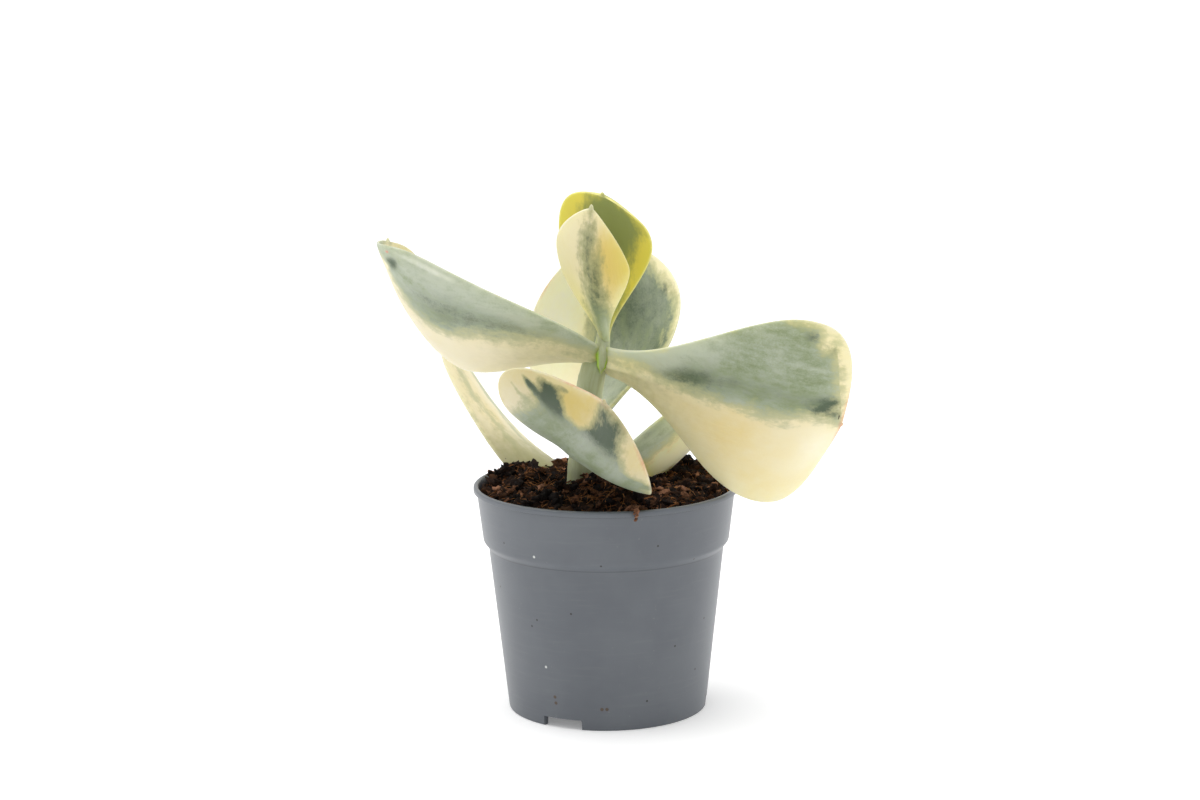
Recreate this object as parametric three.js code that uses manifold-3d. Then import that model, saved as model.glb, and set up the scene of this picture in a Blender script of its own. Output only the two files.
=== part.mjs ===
// Potted variegated silver crown: a young succulent with four crossed pairs of fleshy leaves,
// in a mound of peat that fills a grey nursery pot.
// Millimetres, +Z up. The plant is seen from the -Y side, with +X to the right.
// All places are measured from the pot's axis at the level it stands on, and the whole is
// shifted at the end so that the middle of its bounding box lies over the origin.

import * as THREE from 'three';
import { mergeVertices } from 'three/addons/utils/BufferGeometryUtils.js';
import Module from 'manifold-3d';

const wasm = await Module();
wasm.setup();

// Driving dimensions of the pot
const POT_HEIGHT = 73;
const LIP_RADIUS = 42.5;
const LIP_HEIGHT = 1.8;
const LIP_ROUNDING = 0.4;
const LIP_TOP_WIDTH = 1.1;
const COLLAR_TOP_RADIUS = 41.45;
const COLLAR_FOOT_RADIUS = 39.5;
const COLLAR_HEIGHT = 17.8;
const STEP_DROP = 2;
const WALL_TOP_RADIUS = 37.85;
const FOOT_RADIUS = 31.95;
const FOOT_ROUNDING = 0.5;
const FOOT_RING_WIDTH = 1.8;
const WALL = 1.1;
const FLOOR_UNDERSIDE = 3.4;
const FLOOR_THICKNESS = 1.3;
const POT_SEGMENTS = 60;

// The three notches in the foot ring, the first one left of the front, in degrees from +X
const NOTCH_COUNT = 3;
const NOTCH_WIDTH = 13.5;
const NOTCH_HEIGHT = 3.2;
const NOTCH_DEPTH = 8;
const FIRST_NOTCH_AZIMUTH = -117;

// Drain holes in the floor: one in the middle and one behind each notch
const DRAIN_RADIUS = 3.2;
const DRAIN_CIRCLE = 22;
const DRAIN_SIDES = 18;

// Touching pieces keep this gap
const SEAT_GAP = 0.3;

// Soil: its level at the wall, the crown of its mound, its swells and hollows and its lumps
const SOIL_EDGE_LEVEL = 70.4;
const SOIL_EDGE_LIMIT = 71.4;
const SOIL_CROWN = 5;
const SOIL_CROWN_POWER = 3;
const SOIL_RINGS = 14;
const SOIL_SEGMENTS = 58;
const LUMP_SIZE = 5.5;
const LUMP_HEIGHT = 3;
const LUMP_SEED = 17.3;
const FINE_LUMP_SHIFT = 40;
const SOIL_SWELLS = [
  { x: -29, y: 7, rise: 4.4, spread: 8 },
  { x: 29, y: 12, rise: 3.4, spread: 9 },
  { x: 6, y: -22, rise: 1.6, spread: 7 },
  { x: -17, y: -8, rise: -3.2, spread: 5 },
  { x: -13, y: 33, rise: -3.4, spread: 6 },
];

// Stem: points on its middle line and its radius there, from the tap root's end to the tip
const STEM_LINE = [
  { at: [-3.5, 1.5, 26], radius: 1.1 },
  { at: [-6, 1.2, 40], radius: 2.2 },
  { at: [-8.2, 0.6, 55], radius: 3.6 },
  { at: [-8.6, 0, 68], radius: 4.3 },
  { at: [-7.7, 0, 79], radius: 4.4 },
  { at: [-6.6, 0, 90.4], radius: 4.5 },
  { at: [-4.9, 0, 103.4], radius: 4.35 },
  { at: [-3.4, 0, 110.5], radius: 4.2 },
  { at: [-1.6, 0, 115.7], radius: 2.3 },
  { at: [-0.4, 0, 121], radius: 2 },
  { at: [0, 0.2, 126], radius: 0.7 },
];
const STEM_SIDES = 14;
const STEM_STEPS = 3;
const STEM_SAMPLES = 100;

// Main roots: the height where they leave the tap root, their heading, reach and drop
const ROOTS = [
  { z: 58, heading: 20, reach: 24, drop: 16 },
  { z: 55, heading: 100, reach: 20, drop: 20 },
  { z: 57, heading: 172, reach: 17, drop: 18 },
  { z: 52, heading: 235, reach: 20, drop: 22 },
  { z: 50, heading: 305, reach: 24, drop: 20 },
];
const ROOT_RADIUS = 1.3;
const ROOT_END_RADIUS = 0.6;
const ROOT_SIDES = 8;
const ROOT_STEPS = 3;

// Leaves. Each one starts at base and runs along its midrib for length.
// The heading (compass angle of the midrib, 0 at +X), rise (its angle above level) and roll
// (the blade's turn about the midrib) are given at the base, the middle and the tip, in degrees.
// The half width, fold at the midrib, cup, taper toward the base and bluntness of the tip are
// given for the left and the right half, looking along the leaf with its upper face up.
const LEAVES = {
  leaf_low_left: {
    base: [-9.5, 1.7, 61.8], length: 91, halfWidth: [13, 12.5], petiole: 6.3, widest: 0.64,
    heading: [146, 121, 149], rise: [49, 24, 72], roll: [-37, 30, 19],
    fold: [-12, 1], cup: [-5, -2], taper: [1.1, 1.1], bluntness: [2.2, 1.9],
    thickness: [2.6, 1.2, 0.45], rings: 18, across: 8,
  },
  leaf_low_right: {
    base: [-5.4, 0, 58.2], length: 88, halfWidth: [19, 19], petiole: 6.7, widest: 0.66,
    heading: [-4, 14, 32], rise: [47, 35, 29], roll: [-68, -40, -43],
    fold: [12, 14], cup: [23, 15], taper: [1.1, 1.1], bluntness: [2.1, 2.1],
    thickness: [2.6, 1.2, 0.45], rings: 18, across: 8,
  },
  leaf_front: {
    base: [-5.1, -3.9, 89.4], length: 70, halfWidth: [25.5, 34.5], petiole: 4.5, widest: 0.53,
    heading: [-124, -75, -83], rise: [-4, 14, 67], roll: [-15, -49, -66],
    fold: [-4, -12], cup: [37, 13], taper: [1.8, 1.6], bluntness: [1.5, 1.7],
    thickness: [2.4, 1.1, 0.42], rings: 22, across: 12,
  },
  leaf_back: {
    base: [-5.4, 2.9, 91], length: 75.5, halfWidth: [26, 27], petiole: 4.8, widest: 0.52,
    heading: [90, 77, 110], rise: [-7, 60, 70], roll: [-16, 6, 34],
    fold: [0, 18], cup: [25, 36], taper: [1.4, 1.5], bluntness: [2.5, 2.6],
    thickness: [2.4, 1.1, 0.42], rings: 22, across: 12,
  },
  leaf_big_left: {
    base: [-2.5, -0.7, 114.5], length: 93.5, halfWidth: [24, 25.5], petiole: 4.3, widest: 0.71,
    heading: [199, 153, 101], rise: [17, 11.5, 73], roll: [42.5, 60, 51],
    fold: [-2, 1], cup: [26, 32], taper: [1, 1.4], bluntness: [2.3, 2.2],
    thickness: [2.4, 1.1, 0.42], rings: 22, across: 12,
  },
  leaf_big_right: {
    base: [1.3, -2.2, 112.9], length: 82.5, halfWidth: [30.5, 34.5], petiole: 5.6, widest: 0.79,
    heading: [-48, -16, 30], rise: [-5, -17, 0], roll: [-70, -82, -62],
    fold: [-1, -2], cup: [14, 4], taper: [2.3, 2.2], bluntness: [2.3, 2.7],
    thickness: [2.4, 1.1, 0.42], rings: 22, across: 12,
  },
  leaf_top_front: {
    base: [0.1, -1.4, 120], length: 47.5, halfWidth: [12.5, 14], petiole: 1.7, widest: 0.51,
    heading: [-101, -111, -56], rise: [57, 69, 75], roll: [16, -8, -12],
    fold: [38, 28], cup: [32, -5], taper: [2, 2.1], bluntness: [1.4, 1.7],
    thickness: [1.5, 0.9, 0.4], rings: 16, across: 10,
  },
  leaf_top_back: {
    base: [0.1, 1.1, 120.3], length: 48, halfWidth: [15, 18], petiole: 1.7, widest: 0.72,
    heading: [92, 81, 87], rise: [57, 89, 124], roll: [14, 1, -26],
    fold: [-2, 4], cup: [13, 29], taper: [1.6, 1.7], bluntness: [2.9, 2.8],
    thickness: [1.5, 0.9, 0.4], rings: 16, across: 10,
  },
};
const LOW_LEAVES = ['leaf_low_left', 'leaf_low_right'];

// Finer details that all leaves share: shares of the leaf's length, of the half width or of the
// thickness, the powers that shape them, and the tip's small point
const MIDRIB_STEPS = 200;
const WALK_STEPS = 4;
const RING_EVENNESS = 0.35;
const FOLD_REACH = 0.25;
const BASE_CUP_SHARE = 0.3;
const CUP_FULL_AT = 0.5;
const SECTION_FULLNESS = 2.4;
const PETIOLE_FADE_POWER = 3;
const TIP_THINNING = 0.35;
const TIP_THINNING_POWER = 8;
const TIP_HALF_WIDTH = 0.8;
const MUCRO_LENGTH = 1.2;
const MUCRO_SHARE = 0.45;
const KEEL_HEIGHT = 0.8;
const KEEL_REACH = 0.18;

// Colour and roughness of each kind of piece
const PLASTIC = { color: '#6e7378', roughness: 0.5 };
const PEAT = { color: '#3b261a', roughness: 1 };
const STEM_GREEN = { color: '#a2a873', roughness: 0.55 };
const LEAF_PALE = { color: '#c3c7a2', roughness: 0.5 };

const radians = THREE.MathUtils.degToRad;
const mix = THREE.MathUtils.lerp;

// Solids

// A closed skin over a row of loops that all have the same number of points. Each end is closed
// by a fan. From the loop point number turned on, the quads are split along the other diagonal,
// so that the two faces of a blade are split alike.
function skin(loops, turned = Infinity) {
  const count = loops[0].length;
  const points = loops.flat();
  const index = [];
  const at = (ring, i) => ring * count + (i % count);
  for (let ring = 0; ring < loops.length - 1; ring++) {
    for (let i = 0; i < count; i++) {
      const a = at(ring, i);
      const b = at(ring, i + 1);
      const c = at(ring + 1, i + 1);
      const d = at(ring + 1, i);
      if (i < turned) index.push(a, b, c, a, c, d);
      else index.push(a, b, d, b, c, d);
    }
  }
  for (const [ring, first] of [[0, true], [loops.length - 1, false]]) {
    const centre = points.length;
    const middle = new THREE.Vector3();
    loops[ring].forEach((point) => middle.addScaledVector(point, 1 / count));
    points.push(middle);
    for (let i = 0; i < count; i++) {
      if (first) index.push(centre, at(ring, i + 1), at(ring, i));
      else index.push(centre, at(ring, i), at(ring, i + 1));
    }
  }
  const geometry = new THREE.BufferGeometry().setFromPoints(points);
  geometry.setIndex(index);
  return geometry;
}

// The solid inside a closed geometry
function solidOf(geometry) {
  const bare = geometry.clone();
  bare.deleteAttribute('normal');
  bare.deleteAttribute('uv');
  const merged = mergeVertices(bare);
  const corners = merged.index.array;
  const triVerts = [];
  for (let i = 0; i < corners.length; i += 3) {
    const [a, b, c] = corners.slice(i, i + 3);
    if (a !== b && b !== c && c !== a) triVerts.push(a, b, c);
  }
  return new wasm.Manifold(new wasm.Mesh({
    numProp: 3,
    vertProperties: merged.attributes.position.array,
    triVerts: new Uint32Array(triVerts),
  }));
}

// The largest body of a solid, without the loose scraps that a cut can leave
function mainBody(solid) {
  const bodies = solid.decompose();
  bodies.sort((a, b) => b.volume() - a.volume());
  return bodies[0];
}

// The named mesh of a solid
function piece(name, solid, finish) {
  const { vertProperties, triVerts } = mainBody(solid).getMesh();
  const geometry = new THREE.BufferGeometry();
  geometry.setAttribute('position', new THREE.BufferAttribute(vertProperties, 3));
  geometry.setIndex(new THREE.BufferAttribute(triVerts, 1));
  geometry.computeVertexNormals();
  const material = new THREE.MeshStandardMaterial({ ...finish, metalness: 0 });
  const mesh = new THREE.Mesh(geometry, material);
  mesh.name = name;
  return mesh;
}

// A loop of points round a centre, across the given direction
function circle(centre, direction, radius, sides) {
  const sideways = new THREE.Vector3(0, 1, 0).cross(direction).normalize();
  const upward = direction.clone().cross(sideways).normalize();
  return Array.from({ length: sides }, (_, i) => {
    const turn = (2 * Math.PI * i) / sides;
    return centre.clone()
      .addScaledVector(sideways, radius * Math.cos(turn))
      .addScaledVector(upward, radius * Math.sin(turn));
  });
}

// A round tube with a changing radius along a smooth line through the given stops. A grown
// tube is that much larger all round and at both ends.
function taperedTube(stops, stepsPerStop, sides, grow = 0) {
  const line = new THREE.CatmullRomCurve3(stops.map(({ at }) => new THREE.Vector3(...at)));
  const spans = stops.length - 1;
  const steps = spans * stepsPerStop;
  const loops = [];
  for (let k = 0; k <= steps; k++) {
    const span = Math.min(Math.floor(k / stepsPerStop), spans - 1);
    const radius = mix(stops[span].radius, stops[span + 1].radius, k / stepsPerStop - span);
    const tangent = line.getTangent(k / steps);
    const shift = k === 0 ? -grow : k === steps ? grow : 0;
    const centre = line.getPoint(k / steps).addScaledVector(tangent, shift);
    loops.push(circle(centre, tangent, radius + grow, sides));
  }
  return solidOf(skin(loops));
}

// Pot

const COLLAR_FOOT = POT_HEIGHT - COLLAR_HEIGHT;
const WALL_TOP = COLLAR_FOOT - STEP_DROP;
const LIP_FOOT = POT_HEIGHT - LIP_HEIGHT;
const FLOOR_TOP = FLOOR_UNDERSIDE + FLOOR_THICKNESS;

// The outside radius of the wall at a height
function outerRadius(z) {
  if (z <= WALL_TOP) return mix(FOOT_RADIUS, WALL_TOP_RADIUS, z / WALL_TOP);
  if (z <= COLLAR_FOOT) return mix(WALL_TOP_RADIUS, COLLAR_FOOT_RADIUS, (z - WALL_TOP) / STEP_DROP);
  return mix(COLLAR_FOOT_RADIUS, COLLAR_TOP_RADIUS, (z - COLLAR_FOOT) / (LIP_FOOT - COLLAR_FOOT));
}

const innerRadius = (z) => outerRadius(z) - WALL;

function potSolid() {
  const footInside = FOOT_RADIUS - FOOT_RING_WIDTH;
  const profile = [
    [0, FLOOR_UNDERSIDE],
    [footInside, FLOOR_UNDERSIDE],
    [footInside, 0],
    [FOOT_RADIUS - FOOT_ROUNDING, 0],
    [outerRadius(FOOT_ROUNDING), FOOT_ROUNDING],
    [WALL_TOP_RADIUS, WALL_TOP],
    [COLLAR_FOOT_RADIUS, COLLAR_FOOT],
    [COLLAR_TOP_RADIUS, LIP_FOOT],
    [LIP_RADIUS, LIP_FOOT],
    [LIP_RADIUS, POT_HEIGHT - LIP_ROUNDING],
    [LIP_RADIUS - LIP_ROUNDING, POT_HEIGHT],
    [LIP_RADIUS - LIP_ROUNDING - LIP_TOP_WIDTH, POT_HEIGHT],
    [innerRadius(LIP_FOOT), LIP_FOOT],
    [innerRadius(COLLAR_FOOT), COLLAR_FOOT],
    [innerRadius(WALL_TOP), WALL_TOP],
    [innerRadius(FLOOR_TOP), FLOOR_TOP],
    [0, FLOOR_TOP],
  ];
  const points = profile.map(([radius, z]) => new THREE.Vector2(radius, z));
  const shell = new THREE.LatheGeometry(points, POT_SEGMENTS).rotateX(Math.PI / 2);
  return solidOf(shell).subtract(notches()).subtract(drainHoles());
}

function notches() {
  const notch = new THREE.BoxGeometry(NOTCH_DEPTH, NOTCH_WIDTH, 2 * NOTCH_HEIGHT);
  return roundTheAxis(notch.translate(FOOT_RADIUS, 0, 0));
}

function drainHoles() {
  const passThrough = 2 * FLOOR_TOP;
  const hole = new THREE.CylinderGeometry(DRAIN_RADIUS, DRAIN_RADIUS, passThrough, DRAIN_SIDES);
  hole.rotateX(Math.PI / 2).translate(0, 0, FLOOR_UNDERSIDE + FLOOR_THICKNESS / 2);
  return roundTheAxis(hole.clone().translate(DRAIN_CIRCLE, 0, 0)).add(solidOf(hole));
}

// The join of three copies of a shape, turned from the +X side to each notch's azimuth
function roundTheAxis(shape) {
  let sum = null;
  for (let i = 0; i < NOTCH_COUNT; i++) {
    const turn = radians(FIRST_NOTCH_AZIMUTH + (360 * i) / NOTCH_COUNT);
    const copy = solidOf(shape.clone().rotateZ(turn));
    sum = sum ? sum.add(copy) : copy;
  }
  return sum;
}

// Stem with its tap root and main roots

function stemSolid(grow = 0) {
  let solid = taperedTube(STEM_LINE, STEM_STEPS, STEM_SIDES, grow);
  for (const root of ROOTS) solid = solid.add(rootSolid(root, grow));
  return solid;
}

// One main root, from the tap root's middle line outward and down
function rootSolid({ z, heading, reach, drop }, grow) {
  const line = new THREE.CatmullRomCurve3(STEM_LINE.map(({ at }) => new THREE.Vector3(...at)));
  const start = line.getPoints(STEM_SAMPLES).find((point) => point.z >= z);
  const out = new THREE.Vector2(Math.cos(radians(heading)), Math.sin(radians(heading)));
  const stop = (share, radius) => ({
    at: [start.x + out.x * reach * share, start.y + out.y * reach * share, z - drop * share ** 2],
    radius,
  });
  const stops = [stop(0, ROOT_RADIUS), stop(0.5, ROOT_RADIUS), stop(1, ROOT_END_RADIUS)];
  return taperedTube(stops, ROOT_STEPS, ROOT_SIDES, grow);
}

// Leaves

// A value given at the base, the middle and the tip, at the fraction s of the midrib
function along([base, middle, tip], s) {
  return base * (1 - s) * (1 - 2 * s) + 4 * middle * s * (1 - s) + tip * s * (2 * s - 1);
}

// The direction of the midrib at s, the blade's left-hand direction and its upper normal
function leafFrame(leaf, s) {
  const heading = radians(along(leaf.heading, s));
  const rise = radians(along(leaf.rise, s));
  const roll = radians(along(leaf.roll, s));
  const flat = Math.cos(rise);
  const forward = new THREE.Vector3(flat * Math.cos(heading), flat * Math.sin(heading), Math.sin(rise));
  const level = new THREE.Vector3(-Math.sin(heading), Math.cos(heading), 0);
  const above = forward.clone().cross(level);
  const left = level.clone().multiplyScalar(Math.cos(roll)).addScaledVector(above, Math.sin(roll));
  return { forward, left, up: forward.clone().cross(left) };
}

// Points along the midrib, at equal steps
function midrib(leaf) {
  const step = leaf.length / MIDRIB_STEPS;
  const points = [new THREE.Vector3(...leaf.base)];
  for (let k = 0; k < MIDRIB_STEPS; k++) {
    const { forward } = leafFrame(leaf, (k + 0.5) / MIDRIB_STEPS);
    points.push(points[k].clone().addScaledVector(forward, step));
  }
  return points;
}

function pointAt(points, s) {
  const place = s * MIDRIB_STEPS;
  const k = Math.min(Math.floor(place), MIDRIB_STEPS - 1);
  return points[k].clone().lerp(points[k + 1], place - k);
}

// Half the leaf's width at s on one side: it grows from the petiole to the widest place, then
// closes in a blunt round tip
function halfWidth(leaf, side, s) {
  const full = leaf.halfWidth[side];
  const petiole = leaf.petiole / full;
  if (s < leaf.widest) {
    const growth = Math.sin((Math.PI / 2) * (s / leaf.widest)) ** leaf.taper[side];
    return full * mix(petiole, 1, growth);
  }
  const past = (s - leaf.widest) / (1 - leaf.widest);
  const power = leaf.bluntness[side];
  return Math.max(full * (1 - past ** power) ** (1 / power), TIP_HALF_WIDTH);
}

// How far the section has turned up at the share t of the half width
function sectionTurn(leaf, side, s, t) {
  const fold = radians(leaf.fold[side]) * (1 - s / 2) * THREE.MathUtils.smoothstep(t, 0, FOLD_REACH);
  const cupShare = mix(BASE_CUP_SHARE, 1, Math.sin((Math.PI / 2) * Math.min(s / CUP_FULL_AT, 1)));
  return fold + radians(leaf.cup[side]) * cupShare * t;
}

// Half the leaf's thickness at s and at the share t of the half width
function halfThickness(leaf, s, t) {
  const [petiole, blade, edge] = leaf.thickness;
  const middle = mix(blade, petiole, (1 - s) ** PETIOLE_FADE_POWER);
  const tipShare = 1 - TIP_THINNING * s ** TIP_THINNING_POWER;
  return mix(edge, middle, 1 - t ** SECTION_FULLNESS) * tipShare;
}

// One section of the leaf as a closed loop: the upper face from the left margin to the right
// one, then the lower face back
function leafSection(leaf, s, centre, { left, up }, share, grow) {
  const half = leaf.across / 2;
  const upper = [];
  const lower = [];
  for (const side of [0, 1]) {
    const outward = left.clone().multiplyScalar(side === 0 ? 1 : -1);
    const width = (halfWidth(leaf, side, s) + grow) * share;
    const step = width / (half * WALK_STEPS);
    const point = centre.clone();
    for (let k = 0; k <= half; k++) {
      const t = k / half;
      const turn = sectionTurn(leaf, side, s, t);
      const normal = up.clone().multiplyScalar(Math.cos(turn)).addScaledVector(outward, -Math.sin(turn));
      const keel = KEEL_HEIGHT * (1 - s) * Math.exp(-((t / KEEL_REACH) ** 2));
      const thick = (halfThickness(leaf, s, t) + grow) * share;
      const above = point.clone().addScaledVector(normal, thick);
      const below = point.clone().addScaledVector(normal, -thick - keel);
      if (side === 0) {
        upper.unshift(above);
        lower.unshift(below);
      } else if (k > 0) {
        upper.push(above);
        lower.push(below);
      }
      for (let w = 0; w < WALK_STEPS; w++) {
        const ahead = sectionTurn(leaf, side, s, (k + (w + 0.5) / WALK_STEPS) / half);
        point.addScaledVector(outward, step * Math.cos(ahead)).addScaledVector(up, step * Math.sin(ahead));
      }
    }
  }
  return [...upper, ...lower.reverse()];
}

// The leaf's solid, with a small point past the tip. The rings crowd toward the tip. A grown
// leaf is that much larger all round and at both ends.
function leafSolid(leaf, grow = 0) {
  const points = midrib(leaf);
  const loops = [];
  for (let k = 0; k <= leaf.rings; k++) {
    const even = k / leaf.rings;
    const s = mix(Math.sin((Math.PI / 2) * even), even, RING_EVENNESS);
    const frame = leafFrame(leaf, s);
    const centre = pointAt(points, s).addScaledVector(frame.forward, k === 0 ? -grow : 0);
    loops.push(leafSection(leaf, s, centre, frame, 1, grow));
  }
  const tip = leafFrame(leaf, 1);
  const mucro = pointAt(points, 1).addScaledVector(tip.forward, MUCRO_LENGTH + grow);
  loops.push(leafSection(leaf, 1, mucro, tip, MUCRO_SHARE, grow));
  return solidOf(skin(loops, leaf.across + 1));
}

// Soil

const fraction = (value) => value - Math.floor(value);

// A repeatable scattered value from 0 to 1 at each whole-numbered place: the far digits of a sine
const SCATTER_I = 127.1;
const SCATTER_J = 311.7;
const SCATTER_SCALE = 43758.5453;
function chance(i, j) {
  return fraction(Math.sin(i * SCATTER_I + j * SCATTER_J + LUMP_SEED) * SCATTER_SCALE);
}

// The scattered values joined smoothly
function smoothChance(x, y) {
  const i = Math.floor(x);
  const j = Math.floor(y);
  const u = THREE.MathUtils.smoothstep(x - i, 0, 1);
  const v = THREE.MathUtils.smoothstep(y - j, 0, 1);
  const near = mix(chance(i, j), chance(i + 1, j), u);
  const far = mix(chance(i, j + 1), chance(i + 1, j + 1), u);
  return mix(near, far, v);
}

// The soil's height at a place: a low mound with swells, hollows and two sizes of lumps
function soilHeight(x, y) {
  const radius = Math.hypot(x, y) / COLLAR_TOP_RADIUS;
  let z = SOIL_EDGE_LEVEL + SOIL_CROWN * Math.max(0, 1 - radius ** SOIL_CROWN_POWER);
  for (const swell of SOIL_SWELLS) {
    const away = Math.hypot(x - swell.x, y - swell.y) / swell.spread;
    z += swell.rise * Math.exp(-(away ** 2));
  }
  const coarse = smoothChance(x / LUMP_SIZE, y / LUMP_SIZE) - 0.5;
  const fine = smoothChance((2 * x) / LUMP_SIZE + FINE_LUMP_SHIFT, (2 * y) / LUMP_SIZE) - 0.5;
  return z + LUMP_HEIGHT * (coarse + fine / 2);
}

function soilSolid() {
  const level = (z) => ring(SOIL_SEGMENTS, () => [innerRadius(z) - SEAT_GAP, z]);
  const loops = [level(FLOOR_TOP + SEAT_GAP), level(WALL_TOP), level(COLLAR_FOOT)];
  loops.push(ring(SOIL_SEGMENTS, (x, y) => {
    const z = Math.min(soilHeight(x, y), SOIL_EDGE_LIMIT);
    return [innerRadius(z) - SEAT_GAP, z];
  }, innerRadius(SOIL_EDGE_LEVEL)));
  for (let k = 1; k < SOIL_RINGS; k++) {
    const radius = innerRadius(SOIL_EDGE_LEVEL) * (1 - k / SOIL_RINGS);
    loops.push(ring(SOIL_SEGMENTS, (x, y) => [radius, soilHeight(x, y)], radius));
  }
  return solidOf(skin(loops));
}

// A loop of points round the pot's axis. The rule gives each point's radius and height from
// its place on a circle of the given radius.
function ring(count, rule, radius = 1) {
  return Array.from({ length: count }, (_, i) => {
    const turn = (2 * Math.PI * i) / count;
    const [reach, z] = rule(radius * Math.cos(turn), radius * Math.sin(turn));
    return new THREE.Vector3(reach * Math.cos(turn), reach * Math.sin(turn), z);
  });
}

// The whole

const potted = new THREE.Group();
potted.add(piece('pot', potSolid(), PLASTIC));

let soil = soilSolid().subtract(stemSolid(SEAT_GAP));
for (const name of LOW_LEAVES) soil = soil.subtract(leafSolid(LEAVES[name], SEAT_GAP));
potted.add(piece('soil', soil, PEAT));

potted.add(piece('stem', stemSolid(), STEM_GREEN));
for (const [name, leaf] of Object.entries(LEAVES)) {
  const clearOfStem = leafSolid(leaf).subtract(stemSolid(SEAT_GAP));
  potted.add(piece(name, clearOfStem, LEAF_PALE));
}

const middle = new THREE.Box3().setFromObject(potted).getCenter(new THREE.Vector3());
potted.position.set(-middle.x, -middle.y, 0);

export default potted;
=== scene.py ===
# Potted variegated silver crown: the looks of the plant, its peat and its nursery pot.
# Metres, +Z up, seen from the -Y side. Sizes are written in millimetres times MM.

import math
import random

import bpy
import numpy as np
from mathutils import Matrix, Vector, noise


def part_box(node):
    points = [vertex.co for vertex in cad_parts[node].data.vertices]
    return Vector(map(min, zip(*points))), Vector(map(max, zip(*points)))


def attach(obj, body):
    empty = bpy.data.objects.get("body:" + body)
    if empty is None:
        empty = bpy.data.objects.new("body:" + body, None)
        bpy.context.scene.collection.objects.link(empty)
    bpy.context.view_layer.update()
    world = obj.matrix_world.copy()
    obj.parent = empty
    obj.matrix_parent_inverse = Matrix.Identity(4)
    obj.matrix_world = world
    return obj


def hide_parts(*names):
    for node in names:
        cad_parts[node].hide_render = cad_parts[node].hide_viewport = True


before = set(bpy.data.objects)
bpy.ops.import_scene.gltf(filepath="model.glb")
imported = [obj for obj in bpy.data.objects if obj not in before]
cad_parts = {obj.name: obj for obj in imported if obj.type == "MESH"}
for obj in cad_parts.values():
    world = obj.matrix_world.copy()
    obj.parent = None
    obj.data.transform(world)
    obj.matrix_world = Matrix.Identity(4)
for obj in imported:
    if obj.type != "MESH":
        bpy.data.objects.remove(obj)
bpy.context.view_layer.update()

MM = 0.001
BODY = "root"
RANDOM_SEED = 20

# The pot's axis stands off the origin, because the leaves reach further to one side
POT_LOW, POT_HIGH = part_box("pot")
AXIS = np.array([(POT_LOW.x + POT_HIGH.x) / 2, (POT_LOW.y + POT_HIGH.y) / 2, 0.0])

# Driving dimensions of the pot, in millimetres
POT_HEIGHT = 73
LIP_RADIUS = 42.5
LIP_HEIGHT = 1.8
LIP_TOP_WIDTH = 1.5
COLLAR_TOP_RADIUS = 41.45
COLLAR_FOOT_RADIUS = 39.5
COLLAR_HEIGHT = 17.8
STEP_DROP = 2
WALL_TOP_RADIUS = 37.85
FOOT_RADIUS = 31.95
FOOT_RING_WIDTH = 1.8
WALL = 1.1
FLOOR_UNDERSIDE = 3.4
FLOOR_THICKNESS = 1.3
POT_SEGMENTS = 288

# Notches in the foot ring and drain holes in the floor, in millimetres and degrees
NOTCH_COUNT = 3
NOTCH_WIDTH = 13.5
NOTCH_HEIGHT = 3.2
FIRST_NOTCH_AZIMUTH = -117
NOTCH_CORNER = 0.5
NOTCH_CORNER_STEPS = 9
NOTCH_SIDE_SHARE = 0.82
DRAIN_RADIUS = 3.2
DRAIN_CIRCLE = 22

NOTCH_AZIMUTHS = [math.radians(FIRST_NOTCH_AZIMUTH + 360 * k / NOTCH_COUNT) for k in range(NOTCH_COUNT)]
NOTCH_HALF_ANGLE = NOTCH_WIDTH / 2 / FOOT_RADIUS
NOTCH_CORNER_ANGLE = NOTCH_CORNER / FOOT_RADIUS
FOOT_EDGE = 0.6
POT_SMOOTH_ANGLE = 38

COLLAR_FOOT = POT_HEIGHT - COLLAR_HEIGHT
WALL_TOP = COLLAR_FOOT - STEP_DROP
LIP_FOOT = POT_HEIGHT - LIP_HEIGHT
FLOOR_TOP = FLOOR_UNDERSIDE + FLOOR_THICKNESS
FOOT_STOPS = [1.2, 2.2]
COLLAR_STOPS = [60, 65]

# Painted shade: dark lines in the corners under the lip and under the collar
CREASE_SHADE_WIDTH = 0.35
CREASE_SHADE_DROP = 0.2

# Small marks on the pot: their colour, their radius in millimetres, and their places, which are
# pixels of the photograph
PHOTO_WIDTH, PHOTO_HEIGHT = 1200, 800
POT_MARKS = [
    dict(colour="#c9cac6", radius=0.42, pixels=[(534, 557), (546, 667)]),
    dict(colour="#2a2522", radius=0.34, pixels=[
        (500.5, 586.5), (504, 543), (537, 620), (532, 626), (571, 614), (601, 566.5),
        (658, 546), (694, 559), (695, 669), (647, 701), (704, 618), (675, 646),
    ]),
    dict(colour="#4a3a2c", radius=0.55, pixels=[(555, 697), (556, 703), (602, 709.5), (607, 709.5)]),
]
MARK_SOFTNESS = (1.3, 0.7)
SIGHT_STEP = 0.01

# Soil, in millimetres
SEAT_GAP = 0.3
SOIL_EDGE_LEVEL = 70.4
SOIL_EDGE_LIMIT = 71.4
SOIL_CROWN = 5
SOIL_CROWN_POWER = 3
LUMP_SIZE = 5.5
LUMP_HEIGHT = 3
LUMP_SEED = 17.3
FINE_LUMP_SHIFT = 40
SOIL_SWELLS = [
    dict(x=-29, y=7, rise=4.4, spread=8),
    dict(x=29, y=12, rise=3.4, spread=9),
    dict(x=6, y=-22, rise=1.6, spread=7),
    dict(x=-17, y=-8, rise=-3.2, spread=5),
    dict(x=-13, y=33, rise=-3.4, spread=6),
]
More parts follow.
